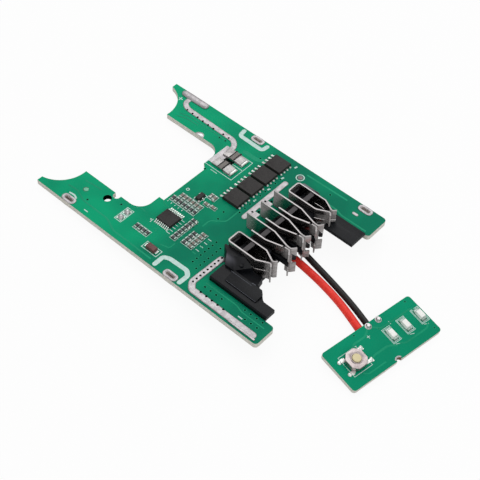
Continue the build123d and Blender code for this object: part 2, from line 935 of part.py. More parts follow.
def cord_path(route):
    """Straight runs joined by tangent arcs, each as large as its two runs allow."""
    points = [Vector(*point) for point in route]
    radii = []
    for before, corner, after in zip(points, points[1:], points[2:]):
        turn = (corner - before).get_angle(after - corner)
        shorter = min((corner - before).length, (after - corner).length)
        radii.append(0.45 * shorter / tan(radians(turn / 2)))
    return FilletPolyline(*points, radius=radii), radii


def cord(route, diameter, label):
    """Insulated lead along its route; prints its length, radii and volume check."""
    path, radii = cord_path(route)
    section = Plane(origin=path @ 0, z_dir=path % 0) * Circle(diameter / 2)
    tube = sweep(section, path=path)
    expected = 3.14159265 * diameter ** 2 / 4 * path.length
    print(label, "length", round(path.length, 2), "radii", [round(r, 1) for r in radii],
          "volume ratio", round(tube.volume / expected, 4))
    return tube


def rod(points, radius, bend):
    """Bare wire along a few points."""
    path = FilletPolyline(*points, radius=bend) if len(points) > 2 else Line(*points)
    return sweep(Plane(origin=path @ 0, z_dir=path % 0) * Circle(radius), path=path)


def rear_tail(route):
    """Bare end of a lead that lies in its joint under the main board."""
    start = Vector(*route[0])
    back = (start - Vector(*route[1])).normalized()
    return rod([start, start + back * bare_length], bare_diameter / 2, 0)


def rear_joint(route):
    """Blob of solder round a lead's bare end under the main board."""
    start = Vector(*route[0])
    back = (start - Vector(*route[1])).normalized()
    middle = start + back * (joint_radius + 0.05)
    blob = Rot(180, 0, 0) * dome(joint_radius, joint_height)
    return Pos(middle.X, middle.Y, -board_thickness) * blob - rear_tail(route)


def wire_hole_places():
    """Holes of the LED board for the two leads, in its own plane."""
    return [(-led_board_width / 2 + wire_hole_inset, y) for y in wire_hole_y]


def front_tail(route, hole):
    """Bare end of a lead that runs under the LED board and up through its hole."""
    end = Vector(*route[-1])
    ahead = end + (end - Vector(*route[-2])).normalized() * bare_lead_in
    start = (led_place.inverse() * Pos(end.X, end.Y, end.Z)).position
    bend = (led_place.inverse() * Pos(ahead.X, ahead.Y, ahead.Z)).position
    low = -led_board_thickness - bare_diameter / 2 - 0.05
    points = [start, bend, Vector(hole[0], hole[1], low), Vector(hole[0], hole[1], solder_cone_height * 0.8)]
    return led_place * rod(points, bare_diameter / 2, 0.35)


def wire_tails():
    holes = wire_hole_places()
    return [rear_tail(red_route), rear_tail(black_route),
            front_tail(red_route, holes[0]), front_tail(black_route, holes[1])]


def led_solder():
    """Solder cones where the leads come up through the LED board."""
    cones = []
    for (x, y), route in zip(wire_hole_places(), (red_route, black_route)):
        cone = Pos(x, y, solder_cone_height / 2) * Cone(solder_cone_radius, 0.4, solder_cone_height)
        cones.append(led_place * cone - front_tail(route, (x, y)))
    return cones


def led_board():
    """Small board with rounded corners and a half-round notch in its far edge."""
    outline = RectangleRounded(led_board_width, led_board_length, led_board_corner)
    outline -= Pos(led_board_width / 2, 0.15) * Circle(led_notch_radius)
    for x, y in wire_hole_places():
        outline -= Pos(x, y) * Circle(wire_hole_diameter / 2)
    return led_place * plate(outline, -led_board_thickness, 0)


def led(y):
    """White LED: flat base and a drafted lens."""
    core = led_length - 2 * led_end
    body = block((-core / 2, core / 2), (-led_width / 2, led_width / 2), (0, led_base))
    lens = extrude(Rectangle(core, led_width), led_height - led_base, taper=led_lens_taper)
    return led_place * Pos(led_x, y) * (body + Pos(0, 0, led_base) * lens)


def led_contacts():
    """Metal ends of the LEDs."""
    outer = led_length / 2
    inner = outer - led_end
    ends = []
    for y in led_y:
        for side in ((inner, outer), (-outer, -inner)):
            end = block(side, (-led_width / 2, led_width / 2), (0, led_base))
            ends.append(led_place * Pos(led_x, y) * end)
    return ends


def octagon(side):
    """Square outline with cut corners."""
    return chamfer(Rectangle(side, side).vertices(), switch_corner)


switch_place = led_place * Pos(switch_x, switch_y)
plate_under = switch_height - cover_sheet
flange_top = plate_under - button_play
flange_bottom = flange_top - button_flange
cavity_floor = flange_bottom - button_travel - 0.03 - dome_height


def switch_base():
    """Moulded base with the round well that holds the snap dome."""
    body = plate(octagon(switch_side - 2 * cover_sheet - 0.1), 0, plate_under)
    well = Cylinder(cavity_diameter / 2, plate_under - cavity_floor)
    body -= Pos(0, 0, (cavity_floor + plate_under) / 2) * well
    return switch_place * body


def switch_cover():
    """Sheet metal cover folded down round the base, with a hole for the button."""
    body = plate(octagon(switch_side), 0.25, switch_height)
    body -= plate(octagon(switch_side - 2 * cover_sheet), 0, plate_under)
    body -= Pos(0, 0, switch_height) * Cylinder(cover_hole_diameter / 2, 2)
    top = body.edges().group_by(Axis.Z)[-1].filter_by(GeomType.LINE)
    return switch_place * fillet(top, 0.12)


def switch_button():
    """Button with a flange that the cover holds in."""
    cap = Pos(0, 0, (flange_top + switch_height + button_proud) / 2) * Cylinder(
        button_diameter / 2, switch_height + button_proud - flange_top)
    cap = fillet(cap.edges().group_by(Axis.Z)[-1], 0.2)
    flange = Pos(0, 0, (flange_top + flange_bottom) / 2) * Cylinder(button_flange_diameter / 2, button_flange)
    return switch_place * (cap + flange)


def switch_dome():
    """Snap dome of thin spring sheet in the well of the base."""
    cap = dome(dome_diameter / 2, dome_height)
    cap -= dome(dome_diameter / 2 - dome_sheet, dome_height - dome_sheet)
    return switch_place * Pos(0, 0, cavity_floor) * cap


def switch_legs():
    """Four flat legs that reach out onto their pads."""
    legs = []
    inner = switch_side / 2
    for x in (-leg_spacing / 2, leg_spacing / 2):
        for side in (1, -1):
            ends = sorted((side * (inner - 0.7), side * leg_span / 2))
            leg = block((x - leg_width / 2, x + leg_width / 2), ends, (0, leg_sheet))
            legs.append(switch_place * (leg - plate(octagon(switch_side - 2 * cover_sheet - 0.1), -1, 1)))
    return legs


save("main_board", main_board())
save("positive_bus", positive_bus())
save("negative_bus", negative_bus())
save("contact_strip", contact_strip())
save("slot_rings", slot_rings())
save("shunt_pads", shunt_pads())
for number, y in enumerate(shunt_y, 1):
    save("shunt_%d" % number, shunt(y))
save("shunt_coats", [shunt_coat(y) for y in shunt_y])
for number in range(mosfet_count):
    save("mosfet_%d" % (number + 1), mosfet(mosfet_first_y + number * mosfet_pitch))
save("mosfet_leads", mosfet_leads())
save("controller_chip", controller_chip())
save("controller_leads", controller_leads_row())
save("transistor", transistor())
save("transistor_leads", transistor_leads())
resistor_places, capacitor_places = chip_places()
save("resistor_bodies", chip_bodies(resistor_places))
save("resistor_ends", chip_ends(resistor_places))
save("capacitor_bodies", chip_bodies(capacitor_places))
save("capacitor_ends", chip_ends(capacitor_places))
save("diode_body", diode())
save("diode_ends", diode_ends())
save("solder_bumps", solder_bumps())

save("contact_1", channel_contact_piece(contact_y[0]))
save("contact_2", pair_contact_piece(contact_y[1], left_lip_bottom, right_lip_bottom))
save("contact_3", pair_contact_piece(contact_y[2], short_lip_bottom, middle_lip_bottom))
save("contact_4", pair_contact_piece(contact_y[3], left_lip_bottom, right_lip_bottom))
save("contact_5", channel_contact_piece(contact_y[4]))
save("contact_solder", tail_solder())
save("contact_housing", housing())

save("red_lead", cord(red_route, red_diameter, "red lead"))
save("black_lead", cord(black_route, black_diameter, "black lead"))
save("bare_ends", wire_tails())
save("lead_joints", [rear_joint(red_route), rear_joint(black_route)])
save("led_board_joints", led_solder())

save("led_board", led_board())
for number, y in enumerate(led_y, 1):
    save("led_%d" % number, led(y))
save("led_contacts", led_contacts())
save("switch_base", switch_base())
save("switch_cover", switch_cover())
save("switch_button", switch_button())
save("switch_dome", switch_dome())
save("switch_legs", switch_legs())

axis = (datum * switch_place)
print("button centre", [round(v, 4) for v in (axis * Pos(0, 0, switch_height)).position])
print("button axis", [round(v, 5) for v in Vector(*(axis * Pos(0, 0, 1)).position) - Vector(*axis.position)])
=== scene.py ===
import math
import bmesh
import bpy
import numpy as np
from mathutils import Matrix, Vector


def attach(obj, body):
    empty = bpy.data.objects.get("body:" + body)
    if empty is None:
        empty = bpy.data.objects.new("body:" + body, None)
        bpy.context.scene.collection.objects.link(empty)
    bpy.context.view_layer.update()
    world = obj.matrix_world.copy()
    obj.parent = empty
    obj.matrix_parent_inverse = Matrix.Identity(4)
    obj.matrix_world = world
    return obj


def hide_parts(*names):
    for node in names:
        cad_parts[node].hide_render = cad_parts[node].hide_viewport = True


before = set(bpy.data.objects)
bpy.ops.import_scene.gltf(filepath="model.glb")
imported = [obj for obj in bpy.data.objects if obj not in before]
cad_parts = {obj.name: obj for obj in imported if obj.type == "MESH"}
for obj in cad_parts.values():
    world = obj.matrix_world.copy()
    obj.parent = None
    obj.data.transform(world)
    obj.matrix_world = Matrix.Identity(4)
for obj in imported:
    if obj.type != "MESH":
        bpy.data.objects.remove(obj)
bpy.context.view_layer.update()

scene = bpy.context.scene
scene.view_settings.view_transform = "Standard"

# Camera
# A tele view from above the left front corner, fitted to the outline of the board,
# the cell arcs and the contacts in the photograph.
az, el, roll = math.radians(40.29), math.radians(49.71), math.radians(2.43)
aim = Vector((0.03561, 0.01356, 0.0016))
camera_distance = 0.2762
focal_pixels, frame_pixels, sensor = 1062.0, 480.0, 36.0
back = Vector((math.sin(az) * math.cos(el), -math.cos(az) * math.cos(el), math.sin(el)))
level = Vector((math.cos(az), math.sin(az), 0))
upward = back.cross(level)
right = math.cos(roll) * level + math.sin(roll) * upward
top = back.cross(right)
camera_data = bpy.data.cameras.new("camera")
camera_data.sensor_width = sensor
camera_data.lens = focal_pixels / frame_pixels * sensor
camera_data.clip_start = 0.01
camera = bpy.data.objects.new("camera", camera_data)
spot = aim + back * camera_distance
camera.matrix_world = Matrix((
    (right.x, top.x, back.x, spot.x),
    (right.y, top.y, back.y, spot.y),
    (right.z, top.z, back.z, spot.z),
    (0, 0, 0, 1)))
scene.collection.objects.link(camera)
scene.camera = camera

# Lamps and room
# A white photo tent: an even pale room, one large soft lamp above the rear and a
# weaker one from the front left, so that sheet edges shine and black plastic keeps its form.
room_strength, seen_strength = 0.62, 1.0
white = (1, 1, 1, 1)


def node(tree, kind, inputs, output=0, **settings):
    """New shader node with its settings and inputs, each a value or a socket; returns one output."""
    made = tree.nodes.new("ShaderNode" + kind)
    for setting, value in settings.items():
        setattr(made, setting, value)
    for socket, value in inputs.items():
        if isinstance(value, bpy.types.NodeSocket):
            tree.links.new(value, made.inputs[socket])
        else:
            made.inputs[socket].default_value = value
    return made.outputs[output]


world = bpy.data.worlds.new("room")
scene.world = world
world.use_nodes = True
world_tree = world.node_tree
room = world_tree.nodes["Background"]
room.inputs["Color"].default_value = white
room.inputs["Strength"].default_value = room_strength
seen = node(world_tree, "Background", {"Color": white, "Strength": seen_strength})
camera_ray = node(world_tree, "LightPath", {}, "Is Camera Ray")
pick = node(world_tree, "MixShader", {0: camera_ray, 1: room.outputs[0], 2: seen})
world_tree.links.new(pick, world_tree.nodes["World Output"].inputs["Surface"])


def soft_lamp(name, place, watts, side):
    """Square lamp at a place, aimed at the middle of the board."""
    data = bpy.data.lights.new(name, "AREA")
    data.energy = watts
    data.size = side
    lamp = bpy.data.objects.new(name, data)
    lamp.location = place
    lamp.rotation_euler = (Vector(place) - aim).to_track_quat("Z", "Y").to_euler()
    scene.collection.objects.link(lamp)


soft_lamp("lamp_over", (-0.25, 0.42, 0.70), 2.6, 0.75)
soft_lamp("lamp_side", (0.45, -0.20, 0.45), 0.9, 0.50)

# Floor
# A white sheet. The part rests on its prong tips, the lip of a contact and the lamp
# board, so the sheet is tipped by the same small angle under the level board.
rest_slope = 0.048
rest_tip_x = -0.0187
floor_half = 1.2
floor_drop = 0.00002
floor_glow_share = 0.92
floor_x = np.array([-floor_half, floor_half, floor_half, -floor_half])
floor_y = np.array([-floor_half, -floor_half, floor_half, floor_half])
floor_z = -rest_slope * (floor_x - rest_tip_x) - floor_drop
floor_mesh = bpy.data.meshes.new("floor")
floor_mesh.from_pydata(np.stack([floor_x, floor_y, floor_z], 1).tolist(), [], [(0, 1, 2, 3)])
floor = bpy.data.objects.new("floor", floor_mesh)
scene.collection.objects.link(floor)
floor_paint = bpy.data.materials.new("white_sheet")
floor_paint.use_nodes = True
floor_tree = floor_paint.node_tree
floor_shader = floor_tree.nodes["Principled BSDF"]
floor_shader.inputs["Base Color"].default_value = (0.82, 0.82, 0.82, 1)
floor_shader.inputs["Roughness"].default_value = 0.9
floor_glow = node(floor_tree, "Emission", {"Strength": 1.0})
floor_ray = node(floor_tree, "LightPath", {}, "Is Camera Ray")
floor_share = node(floor_tree, "Math", {0: floor_ray, 1: floor_glow_share}, operation="MULTIPLY")
floor_mix = node(floor_tree, "MixShader", {0: floor_share, 1: floor_shader.outputs[0], 2: floor_glow})
floor_tree.links.new(floor_mix, floor_tree.nodes["Material Output"].inputs["Surface"])
floor_mesh.materials.append(floor_paint)

# Leads
# Two stranded wires in soft PVC, red the thicker one, soldered under the main board and
# to the edge of the lamp board. They hang between the boards in one gentle bend.
board_corner = np.array([-0.0187, -0.0084, 0.0016])
red_route = np.array([
    (0.0548, 0.0294, -0.00275), (0.0615, 0.0299, -0.00345), (0.0689, 0.02935, -0.0039),
    (0.0764, 0.0285, -0.0042), (0.0834, 0.0271, -0.00455), (0.0886, 0.02545, -0.0048),
    (0.0929, 0.0239, -0.00498)])
black_route = np.array([
    (0.0548, 0.03475, -0.0026), (0.0615, 0.0339, -0.0033), (0.0699, 0.0322, -0.00395),
    (0.0779, 0.0307, -0.00435), (0.0843, 0.0293, -0.0047), (0.0892, 0.028, -0.00495),
    (0.09335, 0.0266, -0.00512)])


def srgb(red, green, blue):
    """Screen colour from 0 to 255 as the linear colour that a shader takes."""
    values = np.array([red, green, blue]) / 255
    linear = np.where(values <= 0.04045, values / 12.92, ((values + 0.055) / 1.055) ** 2.4)
    return (*linear.tolist(), 1)


def finish(name, colour, roughness, metallic=0.0, shine=0.25):
    """Plain shader of one colour, to be given its grain; returns material, shader and tree."""
    made = bpy.data.materials.new(name)
    made.use_nodes = True
    shader = made.node_tree.nodes["Principled BSDF"]
    for socket, value in (("Base Color", colour), ("Roughness", roughness), ("Metallic", metallic),
                          ("Specular IOR Level", shine)):
        shader.inputs[socket].default_value = value
    return made, shader, made.node_tree


def noise(tree, scale, detail=3.0, stretch=(1, 1, 1)):
    """Noise over the object's own coordinates, in cells per metre."""
    place = node(tree, "TexCoord", {}, "Object")
    stretched = node(tree, "Mapping", {"Vector": place, "Scale": stretch}, "Vector")
    return node(tree, "TexNoise", {"Vector": stretched, "Scale": scale, "Detail": detail}, "Fac")


def ramp(tree, factor, low, high, start, end):
    """Colours from low to high as the factor goes from start to end."""
    colours = tree.nodes.new("ShaderNodeValToRGB")
    stops = colours.color_ramp.elements
    stops[0].position, stops[0].color = start, low
    stops[1].position, stops[1].color = end, high
    tree.links.new(factor, colours.inputs["Fac"])
    return colours.outputs["Color"]


def bump(tree, shader, height, strength, distance):
    """Small relief from a height field, distance in metres."""
    relief = node(tree, "Bump", {"Strength": strength, "Distance": distance, "Height": height}, "Normal")
    tree.links.new(relief, shader.inputs["Normal"])


def spread(tree, shader, factor, low, high):
    """Roughness that wanders between two values."""
    wander = node(tree, "MapRange", {"Value": factor, "To Min": low, "To Max": high}, "Result")
    tree.links.new(wander, shader.inputs["Roughness"])


def pvc(name, dark, light):
    """Slightly dull plastic skin with fine scuffs."""
    made, shader, tree = finish(name, light, 0.38)
    tree.links.new(ramp(tree, noise(tree, 900), dark, light, 0.3, 0.62), shader.inputs["Base Color"])
    spread(tree, shader, noise(tree, 2500), 0.28, 0.5)
    bump(tree, shader, noise(tree, 3500), 0.06, 0.00003)
    return made


def lead(name, route, diameter, paint):
    """Round lead whose middle line is a smooth curve guided by the route's points."""
    data = bpy.data.curves.new(name, "CURVE")
    data.dimensions = "3D"
    data.bevel_depth = diameter / 2
    data.bevel_resolution = 6
    data.resolution_u = 16
    data.use_fill_caps = True
    points = route + board_corner
    line = data.splines.new("NURBS")
    line.points.add(len(points) - 1)
    line.points.foreach_set("co", np.column_stack([points, np.ones(len(points))]).ravel())
    line.order_u = 3
    line.use_endpoint_u = True
    data.materials.append(paint)
    piece = bpy.data.objects.new(name, data)
    scene.collection.objects.link(piece)
    return piece


red_skin = pvc("red_pvc", srgb(222, 48, 38), srgb(236, 60, 48))
black_skin = pvc("black_pvc", srgb(24, 22, 22), srgb(36, 34, 34))
red_lead = lead("lead_red", red_route, 0.0021, red_skin)
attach(red_lead, "boards")
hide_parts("red_lead")
black_lead = lead("lead_black", black_route, 0.0017, black_skin)
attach(black_lead, "boards")
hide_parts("black_lead")

# Main board
# Glass laminate under a glossy green solder mask, routed to its outline, so the cut
# edge shows the pale fibre and resin of the laminate.


def along(tree, kind, axis):
    """One axis of the object's own coordinates or of its normal."""
    return node(tree, "SeparateXYZ", {0: node(tree, "TexCoord", {}, kind)}, axis)


def smooth_step(tree, source, low, high, first=0.0, last=1.0):
    """Smooth change from first to last as the source goes from low to high."""
    ends = {"From Min": low, "From Max": high, "To Min": first, "To Max": last}
    return node(tree, "MapRange", {"Value": source, **ends}, "Result", interpolation_type="SMOOTHSTEP")


def mixed(tree, factor, first, second):
    """Colour between two others."""
    return node(tree, "Mix", {"Factor": factor, "A": first, "B": second}, "Result", data_type="RGBA")


def mask_on_laminate(name, normal, deep, bright, far, near):
    """Green lacquer where the face looks along the board's normal, pale fibre on the cut edge; the
    lacquer turns from bright to deep between two places along X."""
    made, shader, tree = finish(name, bright, 0.35, shine=0.04)
    own_normal = node(tree, "TexCoord", {}, "Normal")
    facing = node(tree, "VectorMath", {0: own_normal, 1: normal}, "Value", operation="DOT_PRODUCT")
    flat = node(tree, "Math", {0: facing}, operation="ABSOLUTE")
    level = node(tree, "Math", {0: flat, 1: 0.9}, operation="GREATER_THAN")
    fade = smooth_step(tree, along(tree, "Object", "X"), far, near, -0.25, 0.25)
    cloud = node(tree, "Math", {0: noise(tree, 90, 2.0), 1: fade})
    lacquer = ramp(tree, cloud, deep, bright, 0.2, 0.8)
    strands = noise(tree, 1500, 2.0, (1, 1, 3))
    fibre = ramp(tree, strands, srgb(194, 192, 182), srgb(222, 218, 210), 0.35, 0.7)
    tree.links.new(mixed(tree, level, fibre, lacquer), shader.inputs["Base Color"])
    spread(tree, shader, noise(tree, 600), 0.22, 0.42)
    bump(tree, shader, noise(tree, 2200, 2.0), 0.12, 0.00003)
    return made


def dress(paint, *names):
    """Give CAD nodes their finish."""
    for name in names:
        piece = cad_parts[name]
        for place in piece.material_slots:
            place.material = paint
        if not piece.material_slots:
            piece.data.materials.append(paint)


board_green = mask_on_laminate("green_mask", (0, 0, 1), srgb(4, 116, 88), srgb(2, 158, 112),
                               far=0.034, near=-0.006)
dress(board_green, "main_board")

# Printed bands and boxes
# Pale mint print on the main board: wide bands round the cell-tab slots, thin boxes
# round the parts. Words and numbers of the real board are left out.
no_turn = np.eye(3)


def built(name, shape, paint, turn=no_turn, origin=board_corner, smooth=False):
    """Closed mesh from points in millimetres and faces, turned, moved to its board and facing out."""
    points, faces = shape
    mesh = bpy.data.meshes.new(name)
    mesh.from_pydata((points @ turn.T * 0.001 + origin).tolist(), [], faces)
    outward = bmesh.new()
    outward.from_mesh(mesh)
    bmesh.ops.recalc_face_normals(outward, faces=outward.faces)
    outward.to_mesh(mesh)
    outward.free()
    mesh.polygons.foreach_set("use_smooth", np.full(len(mesh.polygons), smooth))
    mesh.materials.append(paint)
    piece = bpy.data.objects.new(name, mesh)
    scene.collection.objects.link(piece)
    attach(piece, "boards")
    return piece


def slabs(rings, low, high):
    """Flat prisms: every ring of plan corners is raised from low to high, with n sides and two ends."""
    rings = np.asarray(rings, float)
    count, sides = rings.shape[:2]
    foot = np.concatenate([rings, np.full((count, sides, 1), low)], 2)
    roof = np.concatenate([rings, np.full((count, sides, 1), high)], 2)
    start = np.arange(count)[:, None] * 2 * sides
    here = np.arange(sides)
    onward = (here + 1) % sides
    walls = start[..., None] + np.stack([here, onward, onward + sides, here + sides], 1)
    ends = (start + here + sides).tolist() + (start + here[::-1]).tolist()
    return np.concatenate([foot, roof], 1).reshape(-1, 3), ends + walls.reshape(-1, 4).tolist()


def rounds(centres, radius, sides=16):
    """Rings of points at one radius round each centre."""
    turn = np.arange(sides) * 2 * np.pi / sides
    return np.asarray(centres, float)[:, None] + radius * np.column_stack([np.cos(turn), np.sin(turn)])


def lines(ends, width):
    """Straight strokes: each pair of ends is moved on by half the width and widened to both sides
    by as much, so that the strokes round a box meet without lying over one another."""
    ends = np.asarray(ends, float)
    run = ends[:, 1] - ends[:, 0]
    run *= width / 2 / np.linalg.norm(run, axis=1, keepdims=True)
    side = np.column_stack([-run[:, 1], run[:, 0]])
    rear, front = ends[:, 0] + run, ends[:, 1] + run
    return np.stack([rear - side, front - side, front + side, rear + side], 1)


def band(path, width, low, high, corner=1.2, closed=False, arch=0.3):
    """Strip along a path: quadratic curves round its corners, half-round ends, and a section whose
    height is the sine of the angle across it, raised to the power arch."""
    path = np.asarray(path, float)
    inner = path if closed else path[1:-1]
    before = (np.roll(path, 1, 0) if closed else path[:-2]) - inner
    after = (np.roll(path, -1, 0) if closed else path[2:]) - inner
    reach = [np.linalg.norm(side, axis=1, keepdims=True) for side in (before, after)]
    before = inner + before / reach[0] * np.minimum(corner, 0.49 * reach[0])
    after = inner + after / reach[1] * np.minimum(corner, 0.49 * reach[1])
    t = np.linspace(0, 1, 9)[:, None, None]
    bends = (1 - t) ** 2 * before + 2 * t * (1 - t) * inner + t ** 2 * after
    bends = bends.transpose(1, 0, 2).reshape(-1, 2)
    line = np.vstack([bends, bends[:1]]) if closed else np.vstack([path[:1], bends, path[-1:]])
    walked = np.concatenate([[0], np.cumsum(np.linalg.norm(np.diff(line, axis=0), axis=1))])
    total = walked[-1]
    at = np.linspace(0, total, max(int(total / 0.35), 12))
    if closed:
        at = at[:-1]
    else:
        ends = width / 2 * (1 - np.cos(np.linspace(0.12, np.pi / 2, 7)))
        middle = at[(at > width / 2) & (at < total - width / 2)]
        at = np.unique(np.concatenate([ends, middle, total - ends]))
    spot = np.column_stack([np.interp(at, walked, line[:, 0]), np.interp(at, walked, line[:, 1])])
    way = np.roll(spot, -1, 0) - np.roll(spot, 1, 0) if closed else np.gradient(spot, axis=0)
    way /= np.linalg.norm(way, axis=1, keepdims=True)
    side = np.column_stack([-way[:, 1], way[:, 0]])
    near = np.ones(len(at)) if closed else np.minimum(np.minimum(at, total - at) / (width / 2), 1)
    half = np.sqrt(1 - (1 - near) ** 2)
    across = np.linspace(np.pi, 0, 9)
    plan = spot[:, None] + side[:, None] * np.cos(across)[:, None] * half[:, None, None] * width / 2
    height = low + (high - low) * np.abs(np.sin(across)) ** arch * half[:, None] ** 0.5
    points = np.concatenate([plan, height[..., None]], 2).reshape(-1, 3)
    rows, ring = len(at), len(across)
    i = np.arange(rows if closed else rows - 1)[:, None] * ring
    j = np.arange(ring)
    k = (j + 1) % ring
    ahead = (i + ring) % (rows * ring)
    faces = np.stack([i + j, ahead + j, ahead + k, i + k], 2).reshape(-1, 4).tolist()
    if not closed:
        faces += [j.tolist(), ((rows - 1) * ring + j[::-1]).tolist()]
    return points, faces


def joined(*shapes):
    """Several shapes as one list of points and faces."""
    points, faces, count = [], [], 0
    for more, sides in shapes:
        points.append(more)
        faces += [[count + corner for corner in side] for side in sides]
        count += len(more)
    return np.vstack(points), faces


def strips(rows, low, high, corner=1.2):
    """Open bands of one height, each given by its path, its width and, if need be, its corner."""
    return joined(*[band(path, width, low, high, *(bend or (corner,))) for path, width, *bend in rows])


def patched(name, dark, light, roughness, cells, relief=None, detail=3.0, metallic=0.0, shine=0.25):
    """Soft patches of two tones, with a relief given as cells per metre, strength and metres."""
    made, shader, tree = finish(name, light, roughness, metallic, shine)
    patches = ramp(tree, noise(tree, cells, detail), dark, light, 0.3, 0.7)
    tree.links.new(patches, shader.inputs["Base Color"])
    if relief:
        bump(tree, shader, noise(tree, relief[0], detail), *relief[1:])
    return made


print_low, print_high = 0.0, 0.02
mint_print = patched("mint_print", srgb(178, 208, 201), srgb(204, 226, 221), 0.6, 1600,
                     (4000, 0.2, 0.00002), shine=0.2)
wide_bands = joined(
    strips([([(43.9, 0.5), (43.8, 4.2), (45.4, 5.0), (51.3, 5.2), (52.7, 4.1), (52.6, 0.5)], 1.3, 0.6),
            ([(27.8, 53.6), (28.2, 50.8), (36.7, 50.6), (36.9, 53.3)], 1.3, 0.9),
            ([(9.6, 2.9), (11.6, 3.2), (12.8, 2.5)], 0.5, 0.8)], print_low, print_high),
    slabs(lines([[(4.6, 50.2), (6.0, 50.2)], [(5.3, 49.35), (5.3, 49.9)], [(5.3, 50.2), (5.3, 50.75)],
                 [(70.2, 3.5), (71.6, 3.5)], [(17.0, 1.4), (18.4, 1.4)]], 0.3), print_low, print_high),
    band(rounds([(51.3, 49.9)], 1.15)[0], 0.28, print_low, print_high, 0.4, closed=True),
    band(rounds([(32.0, 25.6)], 0.42)[0], 0.25, print_low, print_high, 0.3, closed=True))
built("print_bands", wide_bands, mint_print)

# Vias
# Rows of plated holes that tie the copper layers together: a low ring of covered copper
# with a dark hole in it.


def tubes(wide, narrow, low, high):
    """Short tubes between pairs of rings of plan corners, with a square section."""
    count, sides = wide.shape[:2]
    rings = np.stack([wide, narrow, narrow, wide], 1)
    heights = np.array([high, high, low, low])[None, :, None, None] + 0 * rings[..., :1]
    points = np.concatenate([rings, heights], 3)
    here = np.arange(sides)
    onward = (here + 1) % sides
    part = np.arange(4)[:, None] * sides
    following = np.roll(part, -1, 0)
    quads = np.stack([part + here, part + onward, following + onward, following + here], 2).reshape(-1, 4)
    start = np.arange(count)[:, None, None] * 4 * sides
    return points.reshape(-1, 3), (start + quads).reshape(-1, 4).tolist()


def via_rings(centres, outer, inner, low, high, sides=14):
    """Low rings round each centre."""
    return tubes(rounds(centres, outer, sides), rounds(centres, inner, sides), low, high)


def row(first, last, count):
    """Evenly spaced points from first to last."""
    return np.linspace(first, last, count)


mask_vias = np.vstack([
    row((50.4, 8.3), (50.4, 17.2), 7), row((52.6, 7.3), (52.6, 16.3), 7), row((58.3, 4.5), (63.9, 4.6), 4),
    row((70.4, 6.0), (76.1, 6.1), 4), row((72.3, 3.9), (76.1, 4.0), 3), row((47.8, 29.0), (47.8, 45.6), 9),
    row((24.6, 46.2), (26.7, 46.3), 2), row((51.9, 44.6), (53.6, 44.6), 2),
    [(38.5, 47.9), (45.2, 23.4), (44.6, 26.2), (30.1, 34.4)],
    [(58.2, 48.9), (61.3, 50.6), (23.0, 9.4), (15.2, 4.4)]])
bus_vias = np.vstack([
    row((55.0, 3.6), (55.1, 14.2), 9), row((58.7, 2.5), (66.4, 2.4), 5),
    row((10.2, 48.0), (21.0, 47.5), 6), row((24.6, 47.7), (26.7, 47.7), 2),
    row((50.2, 31.4), (51.4, 32.6), 2), row((50.2, 36.6), (51.4, 37.8), 2)])
covered = patched("covered_copper", srgb(4, 134, 98), srgb(12, 152, 112), 0.4, 120,
                  (2200, 0.12, 0.00003), detail=2.0, shine=0.12)
hole_dark = patched("hole_shadow", srgb(4, 10, 8), srgb(14, 28, 22), 0.95, 3000, shine=0.0)
via_outer, via_inner = 0.44, 0.27
copper_top, hole_top = 0.03, 0.014
built("via_rings", via_rings(mask_vias, via_outer, via_inner, 0.0, copper_top), covered)
built("via_holes", slabs(rounds(mask_vias, via_inner, 14), 0.0, hole_top), hole_dark)

# Locating hole
# A drilled hole without plating. A thin dark lining gives its wall the depth of shade
# that it has in the photograph and leaves it open.
locating_hole = [(18.7, 8.4)]
hole_wall = tubes(rounds(locating_hole, 1.195, 40), rounds(locating_hole, 1.17, 40), -1.59, -0.01)
built("hole_line", hole_wall, hole_dark)

# Covered copper
# Tracks of the top copper layer under the green mask: they stand a hair above the
# laminate, so their edges show as soft lines.
tracks = strips([
    ([(7.4, 4.6), (10.6, 5.0), (14.6, 3.4), (24.0, 3.4), (28.0, 1.6), (42.0, 1.6)], 0.5),
    ([(9.4, 8.8), (12.4, 9.2), (15.4, 9.4)], 0.5),
    ([(9.4, 44.2), (12.4, 45.3), (16.8, 45.5)], 0.4),
    ([(9.4, 45.6), (12.4, 46.5), (26.6, 46.5)], 0.4),
    ([(33.0, 46.8), (38.4, 46.8), (41.0, 48.6), (46.0, 48.8)], 1.4),
    ([(52.0, 52.0), (66.0, 52.2)], 0.5),
    ([(36.0, 8.9), (36.0, 10.9)], 0.3, 0.2),
    ([(29.4, 12.0), (27.6, 12.2), (26.2, 11.0), (26.2, 9.4)], 0.3, 0.6),
    ([(30.4, 18.6), (30.4, 17.6), (33.0, 17.4)], 0.25, 0.5),
    ([(42.9, 9.6), (42.9, 7.4), (40.0, 6.6)], 0.3, 0.6),
    ([(44.0, 18.6), (44.0, 21.4), (47.4, 24.2), (47.4, 30.0)], 0.4, 0.8),
    ([(48.0, 10.6), (49.2, 10.6)], 0.3, 0.2),
    ([(48.0, 13.2), (49.2, 13.2)], 0.3, 0.2),
    ([(48.0, 15.8), (49.2, 15.8)], 0.3, 0.2),
    ([(57.6, 5.6), (68.0, 5.7), (70.0, 5.0), (77.6, 5.0)], 0.35, 0.8),
    ([(59.0, 47.6), (66.0, 47.6), (68.0, 46.9), (76.4, 46.9)], 0.5, 0.8)], 0.0, copper_top)
built("covered_tracks", tracks, covered)

# Tinned copper
# Bare copper runs dipped in solder: a thin dull silver skin with a slight pink cast
# and low waves where the solder froze.


